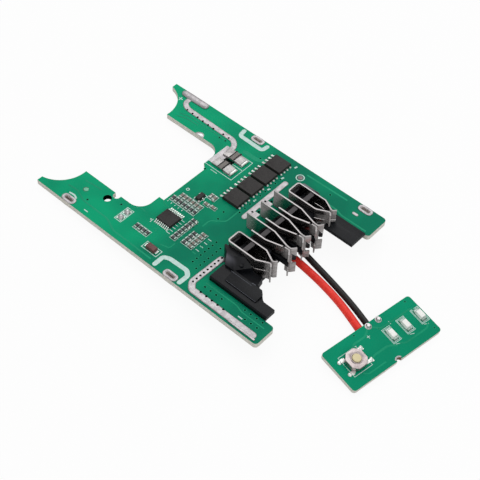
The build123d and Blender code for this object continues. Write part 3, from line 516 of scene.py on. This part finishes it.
def solder_skin(name, dark, light, wave, roughness):
    """Frozen solder: mottled silver with low waves."""
    made, shader, tree = finish(name, light, roughness, metallic=0.85)
    tree.links.new(ramp(tree, noise(tree, 700), dark, light, 0.35, 0.65), shader.inputs["Base Color"])
    spread(tree, shader, noise(tree, 1800), roughness - 0.1, roughness + 0.12)
    bump(tree, shader, noise(tree, 1300, 2.0), wave, 0.00012)
    return made


tin_skin = solder_skin("tinned_copper", srgb(162, 158, 160), srgb(186, 182, 184), 0.5, 0.45)
run_top, pad_top, solder_top = 0.2, 0.1, 0.75
positive_line = [(7.6, 52.6), (7.6, 49.8), (9.6, 48.5), (28.4, 48.0), (30.3, 46.1), (30.3, 43.0)]
positive_run = joined(band(positive_line, 1.7, 0.0, run_top),
                      band([(3.9, 52.7), (14.0, 52.7)], 2.4, 0.0, solder_top, arch=0.9))
positive_bus = built("run_positive", positive_run, tin_skin, smooth=True)
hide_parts("positive_bus")
pour = slabs([[(28.5, 37.4), (32.0, 37.4), (32.0, 45.2), (28.5, 45.2)]], 0.0, pad_top)
built("shunt_pour", pour, tin_skin)
negative_run = band([(55.2, 14.7), (54.8, 3.5), (56.4, 1.65), (77.8, 1.65)], 2.0, 0.0, run_top, 0.6)
negative_bus = built("run_negative", negative_run, tin_skin, smooth=True)
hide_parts("negative_bus")
foot_pads = [[(49.9, y - 1.7), (52.3, y - 1.7), (52.3, y + 1.7), (49.9, y + 1.7)] for y in (30.4, 35.6)]
collector = joined(band([(49.8, 27.9), (49.8, 46.2)], 1.6, 0.0, run_top), slabs(foot_pads, 0.0, pad_top))
contact_strip = built("run_collector", collector, tin_skin)
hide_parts("contact_strip")
dress(tin_skin, "slot_rings")
built("bus_via_holes", slabs(rounds(bus_vias, 0.3, 14), 0.05, run_top + 0.02), hole_dark)
slot_centres = np.array([(11.4, 1.2), (49.4, 1.2), (33.2, 52.8), (71.7, 52.8)])
slot_half = np.array([1.95, 1.95, 1.85, 1.9])
ring_corners = np.array([(-1, -0.82), (1, -0.82), (1, 0.82), (-1, 0.82)])
ring_height = 0.22


def slot_rings(low, high):
    """Rounded tin round the four cell-tab slots."""
    return joined(*[band(centre + ring_corners * (half, 1.0), 0.75, low, high, 0.8, closed=True, arch=0.5)
                    for centre, half in zip(slot_centres, slot_half)])


built("slot_tin", slot_rings(0.0, ring_height), tin_skin, smooth=True)


def stadiums(centres, straight, radius, sides=16):
    """Rings with two half-round ends and straight sides along X."""
    rings = rounds(centres, radius, sides)
    forward = np.cos((np.arange(sides) + 0.5) * 2 * np.pi / sides) > 0
    rings[..., 0] += np.where(forward, 0.5, -0.5) * straight[:, None]
    return rings


slot_straight = np.array([2.1, 2.1, 1.9, 2.0])
slot_wide, slot_narrow = [stadiums(slot_centres, slot_straight, radius) for radius in (0.448, 0.4)]
slot_walls = tubes(slot_wide, slot_narrow, -1.62, 0.1)
plated_wall = patched("plated_wall", srgb(160, 152, 146), srgb(204, 196, 190), 0.55, 1500,
                      (2600, 0.3, 0.00004), metallic=0.2)
built("slot_walls", slot_walls, plated_wall)

# Round and oval pads
# Bare test pads etched from the top copper: flat tin with a rounded rim, one worn by a
# probe and one dulled by a film of lacquer.


def beads(centres, radius, height, low=0.0, sides=12, tiers=4):
    """Round drops: quarter-ellipse section turned about each centre."""
    centres = np.asarray(centres, float)
    rise = np.linspace(0, np.pi / 2, tiers, endpoint=False)[:, None]
    turn = np.arange(sides) * 2 * np.pi / sides
    ring = np.stack([np.cos(rise) * np.cos(turn), np.cos(rise) * np.sin(turn),
                     np.sin(rise) + 0 * turn], 2).reshape(-1, 3)
    drop = np.vstack([ring, (0, 0, 1)]) * (radius, radius, height) + (0, 0, low)
    points = np.tile(drop, (len(centres), 1, 1))
    points[..., :2] += centres[:, None]
    here = np.arange(sides)
    onward = (here + 1) % sides
    level = np.arange(tiers - 1)[:, None, None] * sides
    quads = (level + np.stack([here, onward, onward + sides, here + sides], 1)).reshape(-1, 4)
    tip = np.stack([here, onward, np.full(sides, sides)], 1) + (tiers - 1) * sides
    start = np.arange(len(centres))[:, None, None] * len(drop)
    faces = (start + quads).reshape(-1, 4).tolist() + (start + tip).reshape(-1, 3).tolist()
    faces += (start[:, :, 0] + here[::-1]).tolist()
    return points.reshape(-1, 3), faces


pads = joined(band([(69.6, 49.8), (71.5, 49.8)], 0.9, 0.0, 0.12),
              band([(69.5, 0.85), (78.2, 0.8)], 0.6, 0.1, 0.26))
built("test_pads", pads, tin_skin, smooth=True)
worn_tin = solder_skin("worn_tin", srgb(112, 100, 103), srgb(136, 122, 125), 0.4, 0.5)
built("ring_pad", beads([(51.3, 49.9)], 0.78, pad_top, sides=24), worn_tin, smooth=True)
lacquered_tin = solder_skin("lacquered_tin", srgb(78, 128, 106), srgb(104, 150, 130), 0.45, 0.1)
built("lacquered_pad", beads([(12.1, 6.7)], 0.85, pad_top, sides=24), lacquered_tin, smooth=True)

# Shunts
# Two metal strip resistors across the gap in the positive run, with tinned ends and a
# dark coat over the waist.


def boxes(centres, length, width, angle=0.0):
    """Ends of the four sides of a turned box round each centre."""
    c, d = math.cos(math.radians(angle)), math.sin(math.radians(angle))
    half = np.array([(-length, -width), (length, -width), (length, width), (-length, width)]) / 2
    corners = np.asarray(centres, float)[:, None] + half @ np.array([(c, d), (-d, c)])
    return np.stack([corners, np.roll(corners, -1, axis=1)], 2).reshape(-1, 2, 2)


def rounded(name, paint, width, segments=2):
    """Copy of a CAD node, joined up and with rounded edges, shown in the node's place."""
    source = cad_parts[name]
    shape = bmesh.new()
    shape.from_mesh(source.data)
    bmesh.ops.remove_doubles(shape, verts=shape.verts, dist=0.000001)
    bmesh.ops.dissolve_limit(shape, angle_limit=math.radians(1), verts=shape.verts, edges=shape.edges)
    mesh = bpy.data.meshes.new("soft_" + name)
    shape.to_mesh(mesh)
    shape.free()
    mesh.polygons.foreach_set("use_smooth", np.ones(len(mesh.polygons), bool))
    mesh.materials.append(paint)
    piece = bpy.data.objects.new("soft_" + name, mesh)
    scene.collection.objects.link(piece)
    edge = piece.modifiers.new("edge", "BEVEL")
    edge.width = width
    edge.segments = segments
    edge.limit_method = "ANGLE"
    edge.angle_limit = math.radians(28)
    edge.harden_normals = True
    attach(piece, "boards")
    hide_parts(name)
    return piece


shunt_metal = solder_skin("shunt_metal", srgb(160, 157, 156), srgb(186, 182, 181), 0.3, 0.42)
rounded("shunt_1", shunt_metal, 0.0001)
rounded("shunt_2", shunt_metal, 0.0001)
dress(tin_skin, "shunt_pads")
shunt_print = np.concatenate([
    boxes([(33.3, 40.6)], 9.7, 8.9), [[(34.3, 40.85), (38.1, 40.85)], [(33.8, 35.3), (31.4, 35.3)]]])
built("shunt_print", slabs(lines(shunt_print, 0.18), print_low, print_high), mint_print)
bright_tin = solder_skin("bright_tin", srgb(196, 196, 192), srgb(222, 224, 220), 0.3, 0.35)
shunt_rows = (38.5, 43.2)
shunt_solder = joined(*[band([(36.75, y - 1.45), (36.75, y + 1.45)], 1.0, 0.08, 0.62, arch=0.7)
                        for y in shunt_rows])
built("shunt_solder", shunt_solder, bright_tin, smooth=True)


def moulded(name, dark, light, roughness, grain=4500, relief=0.3):
    """Moulded compound or plastic: fine grain and uneven sheen."""
    made, shader, tree = finish(name, light, roughness)
    tree.links.new(ramp(tree, noise(tree, grain), dark, light, 0.35, 0.65), shader.inputs["Base Color"])
    spread(tree, shader, noise(tree, grain / 6), roughness - 0.08, roughness + 0.08)
    bump(tree, shader, noise(tree, grain * 1.5), relief, 0.00003)
    return made


coat_skin = moulded("shunt_coat", srgb(96, 92, 89), srgb(138, 132, 127), 0.5)
rounded("shunt_coats", coat_skin, 0.00004)
coat_edge = moulded("shunt_coat_edge", srgb(22, 21, 21), srgb(38, 36, 35), 0.5)
coat_lines = np.array([[(x, y - 1.65), (x, y + 1.65)] for x in (32.42, 33.98) for y in shunt_rows])
built("coat_lines", slabs(lines(coat_lines, 0.34), 0.2, 0.86), coat_edge)
# Painted shade: a dark patch on the board in the gap between the two shunts.
gap_shade = slabs([[(31.4, 40.1), (34.4, 40.1), (34.4, 41.6), (31.4, 41.6)]], 0.0, 0.11)
built("shunt_gap_painted_shade", gap_shade, hole_dark)

# Power transistors
# Four flat moulded packages soldered down side by side, with four short leads each on
# the rear side and the drain tab on the front.
epoxy = moulded("black_epoxy", srgb(33, 31, 31), srgb(49, 46, 45), 0.52)
for number in range(1, 5):
    rounded("mosfet_%d" % number, epoxy, 0.00009)
lead_tin = solder_skin("tinned_leads", srgb(196, 202, 197), srgb(224, 230, 225), 0.3, 0.34)
dress(lead_tin, "mosfet_leads", "diode_ends", "bare_ends")
mosfet_row = 31.95 + 5.7 * np.arange(4)[:, None]
lead_row = (mosfet_row + 1.27 * (np.arange(4) - 1.5)).ravel()
tip_spots = np.column_stack([np.full(16, 40.15), lead_row])
tab_spots = np.column_stack([np.full(16, 46.85), lead_row])
lead_beads = joined(beads(tip_spots, 0.42, 0.34), beads(tab_spots, 0.3, 0.2))
built("mosfet_solder", lead_beads, lead_tin, smooth=True)
print_spots = mosfet_row.ravel() + 2.85
mosfet_print = np.stack([np.column_stack([np.full(4, 47.75), print_spots - 0.5]),
                         np.column_stack([np.full(4, 47.95), print_spots + 0.4])], 1)
built("mosfet_print", slabs(lines(mosfet_print, 0.5), print_low, print_high), mint_print)

# Controller
# The sixteen-lead chip that watches the cells, with gull-wing leads soldered down, and
# the small three-lead transistor near it.
rounded("controller_chip", epoxy, 0.00007)
rounded("transistor", epoxy, 0.00008)
dress(lead_tin, "controller_leads", "transistor_leads")
pin_x = 35.95 + 0.62 * (np.arange(8) - 3.5)
pins = np.concatenate([np.column_stack([pin_x, np.full(8, 14.25 + side * 3.05)]) for side in (-1, 1)])
pin_pads = slabs(lines(np.stack([pins - (0, 0.35), pins + (0, 0.35)], 1), 0.4), 0.0, 0.07)
transistor_pins = [(35.5, 24.7), (35.5, 26.5), (37.8, 25.6)]
feet = beads(np.concatenate([pins, transistor_pins]), 0.22, 0.2)
built("controller_solder", joined(pin_pads, feet), lead_tin)
controller_print = np.concatenate([
    [[(33.4, 16.8), (38.5, 16.8)], [(33.4, 11.7), (38.5, 11.7)], [(32.9, 11.7), (32.9, 10.4)]],
    boxes([(36.65, 25.6)], 1.9, 3.4), boxes([(26.2, 6.1), (26.2, 8.65)], 2.3, 2.35),
    boxes([(39.85, 4.05)], 5.2, 2.3),
    np.stack([row((38.2, 10.9), (38.2, 16.4), 6), row((39.5, 10.9), (39.5, 16.4), 6)], 1),
    np.stack([row((48.0, 11.8), (48.0, 16.5), 4), row((49.1, 11.8), (49.1, 16.5), 4)], 1),
    np.stack([row((31.0, 18.6), (36.2, 18.6), 5), row((31.0, 19.1), (36.2, 19.1), 5)], 1)])
built("controller_print", slabs(lines(controller_print, 0.2), print_low, print_high), mint_print)
built("pin_marks", beads([(32.4, 11.2), (41.7, 29.9)], 0.22, 0.02), mint_print)

# Chips
# Thick-film resistors with a dark glaze, tan ceramic capacitors and one brown diode,
# each soldered down by its tinned ends.
resistor_glaze = moulded("resistor_glaze", srgb(52, 52, 55), srgb(78, 76, 78), 0.35)
rounded("resistor_bodies", resistor_glaze, 0.00005)
capacitor_body = moulded("capacitor_ceramic", srgb(112, 104, 98), srgb(140, 130, 122), 0.45)
rounded("capacitor_bodies", capacitor_body, 0.00005)
chip_tin = solder_skin("chip_ends", srgb(140, 156, 148), srgb(174, 190, 182), 0.3, 0.4)
rounded("resistor_ends", chip_tin, 0.00006)
rounded("capacitor_ends", chip_tin, 0.00006)
diode_case = moulded("diode_case", srgb(80, 48, 48), srgb(116, 80, 78), 0.4)
rounded("diode_body", diode_case, 0.00008)


def chip_fillets(centres, angle, half, width, reach, height):
    """Solder wedges at both ends of chips: a concave slope from the cap's top down to the pad."""
    section = np.array([(half, 0), (half + reach, 0), (half + reach * 0.35, height * 0.35), (half, height)])
    wedge = np.array([(x, y, z) for y in (-width / 2, width / 2) for x, z in section])
    centres = np.asarray(centres, float)
    points = []
    for turn in (angle, angle + 180):
        c, d = math.cos(math.radians(turn)), math.sin(math.radians(turn))
        spun = wedge @ np.array([(c, d, 0), (-d, c, 0), (0, 0, 1)])
        points.append(spun + np.column_stack([centres, np.zeros(len(centres))])[:, None])
    points = np.concatenate(points)
    sides = np.array([(0, 1, 5, 4), (1, 2, 6, 5), (2, 3, 7, 6), (3, 0, 4, 7), (3, 2, 1, 0), (4, 5, 6, 7)])
    faces = (np.arange(len(points))[:, None, None] * 8 + sides).reshape(-1, 4).tolist()
    return points.reshape(-1, 3), faces


upright_chips = np.vstack([
    row((31.4, 20.6), (39.2, 20.6), 7), row((32.6, 22.75), (39.1, 22.75), 6),
    row((31.4, 6.95), (35.3, 6.95), 4), row((38.4, 28.0), (39.7, 28.0), 2)])
level_chips = np.vstack([
    row((41.3, 10.6), (41.3, 18.4), 7), row((44.5, 11.4), (44.5, 15.3), 4),
    row((46.5, 11.4), (46.5, 16.6), 5), row((39.6, 25.0), (41.7, 25.3), 2)])
built("chip_solder", joined(chip_fillets(upright_chips, 90, 0.8, 0.8, 0.2, 0.42),
                            chip_fillets(level_chips, 0, 0.8, 0.8, 0.2, 0.42)), chip_tin)
chip_boxes = np.concatenate([boxes(upright_chips, 2.1, 1.14, 90), boxes(level_chips, 1.86, 1.14)])
built("chip_print", slabs(lines(chip_boxes, 0.13), print_low, 0.04), mint_print)
chip_blobs = [(38.9, 25.0), (41.1, 25.4), (38.5, 27.8), (39.9, 27.1), (37.4, 24.2), (45.1, 11.6),
              (45.2, 12.9), (45.1, 14.2), (42.2, 18.2), (42.1, 16.9), (42.1, 15.6)]
built("chip_blobs", beads(chip_blobs, 0.42, 0.62), bright_tin, smooth=True)
chip_tracks = np.concatenate([
    np.stack([upright_chips[:13] + (0, 1.3), upright_chips[:13] + (0.5, 2.0)], 1),
    np.stack([level_chips[:11] + (-1.3, 0), level_chips[:11] + (-1.9, -0.3)], 1)])
built("chip_tracks", slabs(lines(chip_tracks, 0.22), 0.0, copper_top), covered)

# Solder
# Hand-soldered joints of the contacts and leads, and two bumps that close a test link:
# bright, round, with a faint flux haze.
solder = solder_skin("solder", srgb(176, 176, 176), srgb(214, 214, 214), 0.45, 0.28)
dress(solder, "solder_bumps", "contact_solder", "lead_joints", "led_board_joints")
square_pads = boxes([(26.2, 6.15), (26.2, 8.55)], 1.75, 1.75)[:, 0].reshape(2, 4, 2)
built("square_pads", slabs(square_pads, 0.0, 0.06), bright_tin)

# Contacts
# Five springs folded from nickel-plated copper strip, standing on edge; the sheared
# edges shine, the faces mirror the black housing.


def plated(name, dark, light, roughness):
    """Nickel plate on rolled strip: faint streaks along the sheet."""
    made, shader, tree = finish(name, light, roughness, metallic=1.0)
    streaks = noise(tree, 500, 3.0, (1, 1, 5))
    tree.links.new(ramp(tree, streaks, dark, light, 0.3, 0.7), shader.inputs["Base Color"])
    spread(tree, shader, noise(tree, 1500, 2.0, (1, 1, 4)), roughness - 0.08, roughness + 0.1)
    bump(tree, shader, noise(tree, 3000, 2.0, (1, 1, 5)), 0.05, 0.00001)
    return made


nickel = plated("nickel_plate", srgb(150, 147, 146), srgb(182, 178, 177), 0.24)


def sheared(paint, height, edge, strap_height, strap_shade):
    """Colours by place: pale sheared edges above one height, strap tops at another darkened by a
    painted shade; the soldered rear ends and the front lips are dulled by flux and handling."""
    tree = paint.node_tree
    shader = tree.nodes["Principled BSDF"]
    colour = shader.inputs["Base Color"].links[0].from_socket
    z = along(tree, "Object", "Z")
    above = node(tree, "Math", {0: z, 1: height}, operation="GREATER_THAN")
    level = node(tree, "Math", {0: z, 1: strap_height, 2: 0.0002}, operation="COMPARE")
    upright = node(tree, "Math", {0: along(tree, "Normal", "Z"), 1: 0.5}, operation="GREATER_THAN")
    shaded_strap_top = node(tree, "Math", {0: level, 1: upright}, operation="MULTIPLY")
    for factor, tone in ((above, edge), (shaded_strap_top, strap_shade)):
        colour = mixed(tree, factor, colour, tone)
    tree.links.new(colour, shader.inputs["Base Color"])
    ends = {"From Min": 0.030, "From Max": 0.054}
    reach = node(tree, "MapRange", {"Value": along(tree, "Object", "X"), **ends}, "Result")
    dulled = tree.nodes.new("ShaderNodeValToRGB")
    stops = dulled.color_ramp.elements
    stops[0].position, stops[0].color = 0.17, (0.2, 0.2, 0.2, 1)
    stops[1].position, stops[1].color = 0.30, (1, 1, 1, 1)
    stops.new(0.74).color = (1, 1, 1, 1)
    stops.new(0.79).color = (0.3, 0.3, 0.3, 1)
    tree.links.new(reach, dulled.inputs["Fac"])
    tree.links.new(dulled.outputs["Color"], shader.inputs["Metallic"])


# The strap tops get a dark grey painted shade.
sheared(nickel, 0.00692, srgb(158, 154, 154), 0.0066, srgb(58, 56, 57))
for number in range(1, 6):
    rounded("contact_%d" % number, nickel, 0.00007)
dress(nickel, "switch_dome")

# Contact housing
# One black moulding of glass-filled nylon that holds the five contacts apart, staked
# to the board by two pegs. The crests of its shoulders carry a painted grey sheen in place of a reflection.
nylon = moulded("black_nylon", srgb(8, 9, 12), srgb(17, 19, 24), 0.36, 3000, 0.2)
nylon.node_tree.nodes["Principled BSDF"].inputs["Specular IOR Level"].default_value = 0.17
housing = rounded("contact_housing", nylon, 0.0006, 4)


def soft_zones(piece, zones, rest):
    """Bevel weight of each sharp edge: 1 where its middle lies in a zone, else the rest value."""
    mesh = piece.data
    totals, loops = np.zeros(len(mesh.polygons), int), np.zeros(len(mesh.loops), int)
    normals, spots = np.zeros(3 * len(mesh.polygons)), np.zeros(3 * len(mesh.vertices))
    ends = np.zeros(2 * len(mesh.edges), int)
    mesh.polygons.foreach_get("loop_total", totals)
    mesh.polygons.foreach_get("normal", normals)
    mesh.loops.foreach_get("edge_index", loops)
    mesh.vertices.foreach_get("co", spots)
    mesh.edges.foreach_get("vertices", ends)
    owner = np.repeat(np.arange(len(totals)), totals)[np.argsort(loops, kind="stable")].reshape(-1, 2)
    sides = normals.reshape(-1, 3)[owner]
    sharp = (sides[:, 0] * sides[:, 1]).sum(1) < math.cos(math.radians(20))
    middle = spots.reshape(-1, 3)[ends.reshape(-1, 2)].mean(1)
    inside = np.zeros(len(middle), bool)
    for low, high in zones:
        inside |= ((middle > low) & (middle < high)).all(1)
    weights = np.where(sharp, np.where(inside, 1.0, rest), 0.0)
    mesh.attributes.new("bevel_weight_edge", "FLOAT", "EDGE").data.foreach_set("value", weights)
    piece.modifiers["edge"].limit_method = "WEIGHT"


shoulders = np.array([[(0.0350, 0.0030, 0.0020), (0.0470, 0.0052, 0.0070)],
                      [(0.0350, 0.0372, 0.0020), (0.0450, 0.0395, 0.0070)]])
soft_zones(housing, shoulders, 0.3)
# Painted sheen: up-facing faces of the shoulder crests are mixed towards grey, standing in for a reflection
# of the lamps.
nylon_tree = nylon.node_tree
nylon_base = nylon_tree.nodes["Principled BSDF"].inputs["Base Color"]
off_middle = node(nylon_tree, "Math", {0: along(nylon_tree, "Object", "Y"), 1: 0.0212}, operation="SUBTRACT")
outward = node(nylon_tree, "Math", {0: off_middle}, operation="ABSOLUTE")
sheen = 1.0
for source, low, high in ((along(nylon_tree, "Object", "Z"), 0.0030, 0.0052),
                          (along(nylon_tree, "Normal", "Z"), 0.25, 0.95), (outward, 0.0150, 0.0162),
                          (along(nylon_tree, "Object", "X"), 0.0425, 0.0380)):
    share = smooth_step(nylon_tree, source, low, high)
    sheen = node(nylon_tree, "Math", {0: sheen, 1: share}, operation="MULTIPLY")
painted_sheen_tone = mixed(nylon_tree, sheen, nylon_base.links[0].from_socket, srgb(112, 112, 120))
nylon_tree.links.new(painted_sheen_tone, nylon_base)
wing_lip = slabs([[(57.6, 7.03), (76.1, 7.03), (76.1, 7.7), (57.6, 7.7)]], -0.5, 0.3)
built("housing_lip", wing_lip, nylon)
# Painted highlights: thin grey strips along the wing's ridge and step stand in for the glints on their
# rounded edges.
painted_highlight_nylon = moulded("painted_highlight_nylon", srgb(58, 60, 66), srgb(84, 86, 94), 0.4)
painted_highlight_lines = joined(
    band([(61.3, 8.74), (71.3, 8.74)], 0.13, 1.5, 1.66, 0.2),
    band([(60.6, 11.55), (67.6, 11.55)], 0.16, 2.0, 2.16, 0.2),
    band([(67.0, 12.2), (68.3, 12.35)], 0.3, 2.0, 2.2, 0.2))
built("housing_painted_highlights", painted_highlight_lines, painted_highlight_nylon, smooth=True)

# Underside
# What goes through the main board shows below as well: vias, slot rings and the pads
# of the contact tails and leads.
under = -1.6
tails = np.vstack([[(55.1, y) for y in (17.45, 19.55, 41.0, 43.1)],
                   [(x, y) for y in (26.75, 32.25, 37.45) for x in (53.4, 55.8)]])
under_pads = joined(beads(tails, 1.12, -0.14, under, 20),
                    beads([(53.45, 29.3), (53.45, 34.9)], 1.6, -0.14, under, 24))
built("under_pads", under_pads, tin_skin, smooth=True)
built("under_slot_tin", slot_rings(under, under - ring_height), tin_skin, smooth=True)
under_vias = np.vstack([mask_vias, bus_vias])
under_copper = under - copper_top
built("under_via_rings", via_rings(under_vias, via_outer, via_inner, under_copper, under), covered)
built("under_via_holes", slabs(rounds(under_vias, via_inner, 14), under - hole_top, under), hole_dark)
under_tracks = strips([
    ([(47.8, 28.6), (47.8, 46.0)], 1.8), ([(10.2, 47.8), (27.0, 47.6)], 2.6),
    ([(51.5, 7.6), (51.5, 17.0)], 3.4), ([(58.0, 2.6), (66.8, 2.5)], 2.4)], under, under_copper)
built("under_tracks", under_tracks, covered)

# Lamp board
# A thinner board of the same make, carried by its two leads and tipped a little towards
# the table. It holds three white lamps and the push switch.
lamp_tilt = (Matrix.Rotation(math.radians(-8.9), 3, "Z") @ Matrix.Rotation(math.radians(7.4), 3, "Y")
             @ Matrix.Rotation(math.radians(-1.15), 3, "X"))
lamp_normal = lamp_tilt @ Vector((0, 0, 1))
lamp_green = mask_on_laminate("lamp_board_mask", tuple(lamp_normal), srgb(4, 132, 98), srgb(2, 146, 108),
                              far=0.092, near=0.06)
dress(lamp_green, "led_board")
lens = moulded("lamp_lens", srgb(232, 234, 230), srgb(246, 246, 242), 0.35)
for number in range(1, 4):
    rounded("led_%d" % number, lens, 0.00008)
rounded("led_contacts", chip_tin, 0.00005)
lamp_turn = np.array(lamp_tilt)
lamp_corner = board_corner + np.array([0.09953, 0.02446, -0.00432])


def on_lamp_board(name, shape, paint, smooth=False):
    """Piece in the lamp board's own millimetres, laid on that board."""
    return built(name, shape, paint, lamp_turn, lamp_corner, smooth)


lamps = np.array([(-0.2, 3.4), (-0.2, 8.3), (-0.2, 13.4)])
lamp_ticks = np.stack([lamps + (2.6, -1.0), lamps + (3.0, 0.2)], 1)
lamp_signs = [[(-3.6, -1.9), (-2.6, -1.9)], [(-3.1, -2.47), (-3.1, -2.04)], [(-3.1, -1.9), (-3.1, -1.47)],
              [(-3.6, 5.4), (-2.6, 5.4)]]
lamp_print = np.concatenate([boxes(lamps, 4.6, 2.6), boxes(lamps, 4.0, 2.1), lamp_ticks, lamp_signs])
on_lamp_board("lamp_print", slabs(lines(lamp_print, 0.14), print_low, print_high), mint_print)
on_lamp_board("lamp_solder", chip_fillets(lamps, 0, 1.7, 1.2, 0.18, 0.3), chip_tin)
notch_centre = [(6.2, 0.15)]
notch_arc = rounds(notch_centre, 1.0, 36)[0, 11:26]
notch_rim = joined(band(notch_arc, 0.42, 0.0, 0.06, 0.2), band(notch_arc, 0.42, -1.26, -1.2, 0.2))
on_lamp_board("notch_rim", notch_rim, tin_skin)
# Painted shade: the notch's wall is lined in dark brown, far darker than the laminate's pale cut edge.
notch_wall = rounds(notch_centre, 0.79, 36)[0, 10:27]
notch_cut = slabs(lines(np.stack([notch_wall[:-1], notch_wall[1:]], 1), 0.06), -1.19, -0.01)
painted_notch_shade = moulded("painted_notch_shade", srgb(70, 56, 40), srgb(128, 108, 80), 0.6)
on_lamp_board("notch_wall", notch_cut, painted_notch_shade)
lamp_vias = np.array([(-5.3, 13.0), (4.6, 13.9), (-5.4, -4.7), (-0.2, -12.4), (-3.4, 1.9)])
on_lamp_board("lamp_via_rings", via_rings(lamp_vias, 0.4, 0.18, 0.0, copper_top), covered)
on_lamp_board("lamp_via_holes", slabs(rounds(lamp_vias, 0.18, 14), 0.0, 0.012), hole_dark)
lamp_tracks = strips([
    ([(-4.9, 0.4), (-3.0, 2.6), (-3.0, 12.6), (-2.2, 13.4)], 0.5),
    ([(2.4, 3.4), (3.6, 4.6), (3.6, 12.4), (2.6, 13.4)], 0.5),
    ([(-4.9, -0.6), (-3.6, -2.4), (-3.6, -6.6), (-2.4, -7.4)], 0.6),
    ([(3.0, 2.6), (1.6, 0.6), (1.6, -4.4), (2.2, -5.6)], 0.6),
    ([(3.4, -10.0), (4.6, -9.0), (4.6, -3.0)], 0.4)], 0.0, copper_top, 0.8)
on_lamp_board("lamp_tracks", lamp_tracks, covered)
wire_ends = [(-5.35, 0.15), (-5.35, 3.6)]
wire_pads = joined(beads(wire_ends, 0.95, 0.08, sides=20), beads(wire_ends, 0.7, 0.5, sides=16))
on_lamp_board("wire_pads", wire_pads, solder, smooth=True)

# Push switch
# Black base under a folded tinplate cover, soldered down by four flat legs, with a pale
# brass-coloured button that goes into the cover's collar.
cover_steel = plated("switch_tinplate", srgb(158, 147, 147), srgb(188, 177, 176), 0.3)
rounded("switch_cover", cover_steel, 0.00014)
dress(bright_tin, "switch_legs")
dress(epoxy, "switch_base")
button_skin = patched("button_brass", srgb(211, 197, 153), srgb(221, 209, 166), 0.38, 350,
                      (2600, 0.15, 0.00002), shine=0.3)
dress(button_skin, "switch_button")
switch_spot = np.array((0.15, -9.3))
leg_ends = switch_spot + np.array([(-1.95, -3.2), (1.95, -3.2), (-1.95, 3.2), (1.95, 3.2)])
leg_pads = slabs(lines(np.stack([leg_ends - (0, 0.35), leg_ends + (0, 0.35)], 1), 1.2), 0.0, 0.06)
leg_drops = beads(leg_ends + np.array([(0, -0.3), (0, -0.3), (0, 0.3), (0, 0.3)]), 0.6, 0.34, 0.0,
                  sides=20, tiers=6)
on_lamp_board("switch_pads", leg_pads, lead_tin)
on_lamp_board("switch_solder", leg_drops, lead_tin, smooth=True)
rim = band(rounds([switch_spot], 1.4, 24)[0], 0.28, 1.55, 1.74, 0.3, closed=True)
on_lamp_board("switch_rim", rim, cover_steel, smooth=True)
switch_print = slabs(lines(boxes([switch_spot], 6.2, 5.9), 0.14), print_low, print_high)
on_lamp_board("switch_print", switch_print, mint_print)
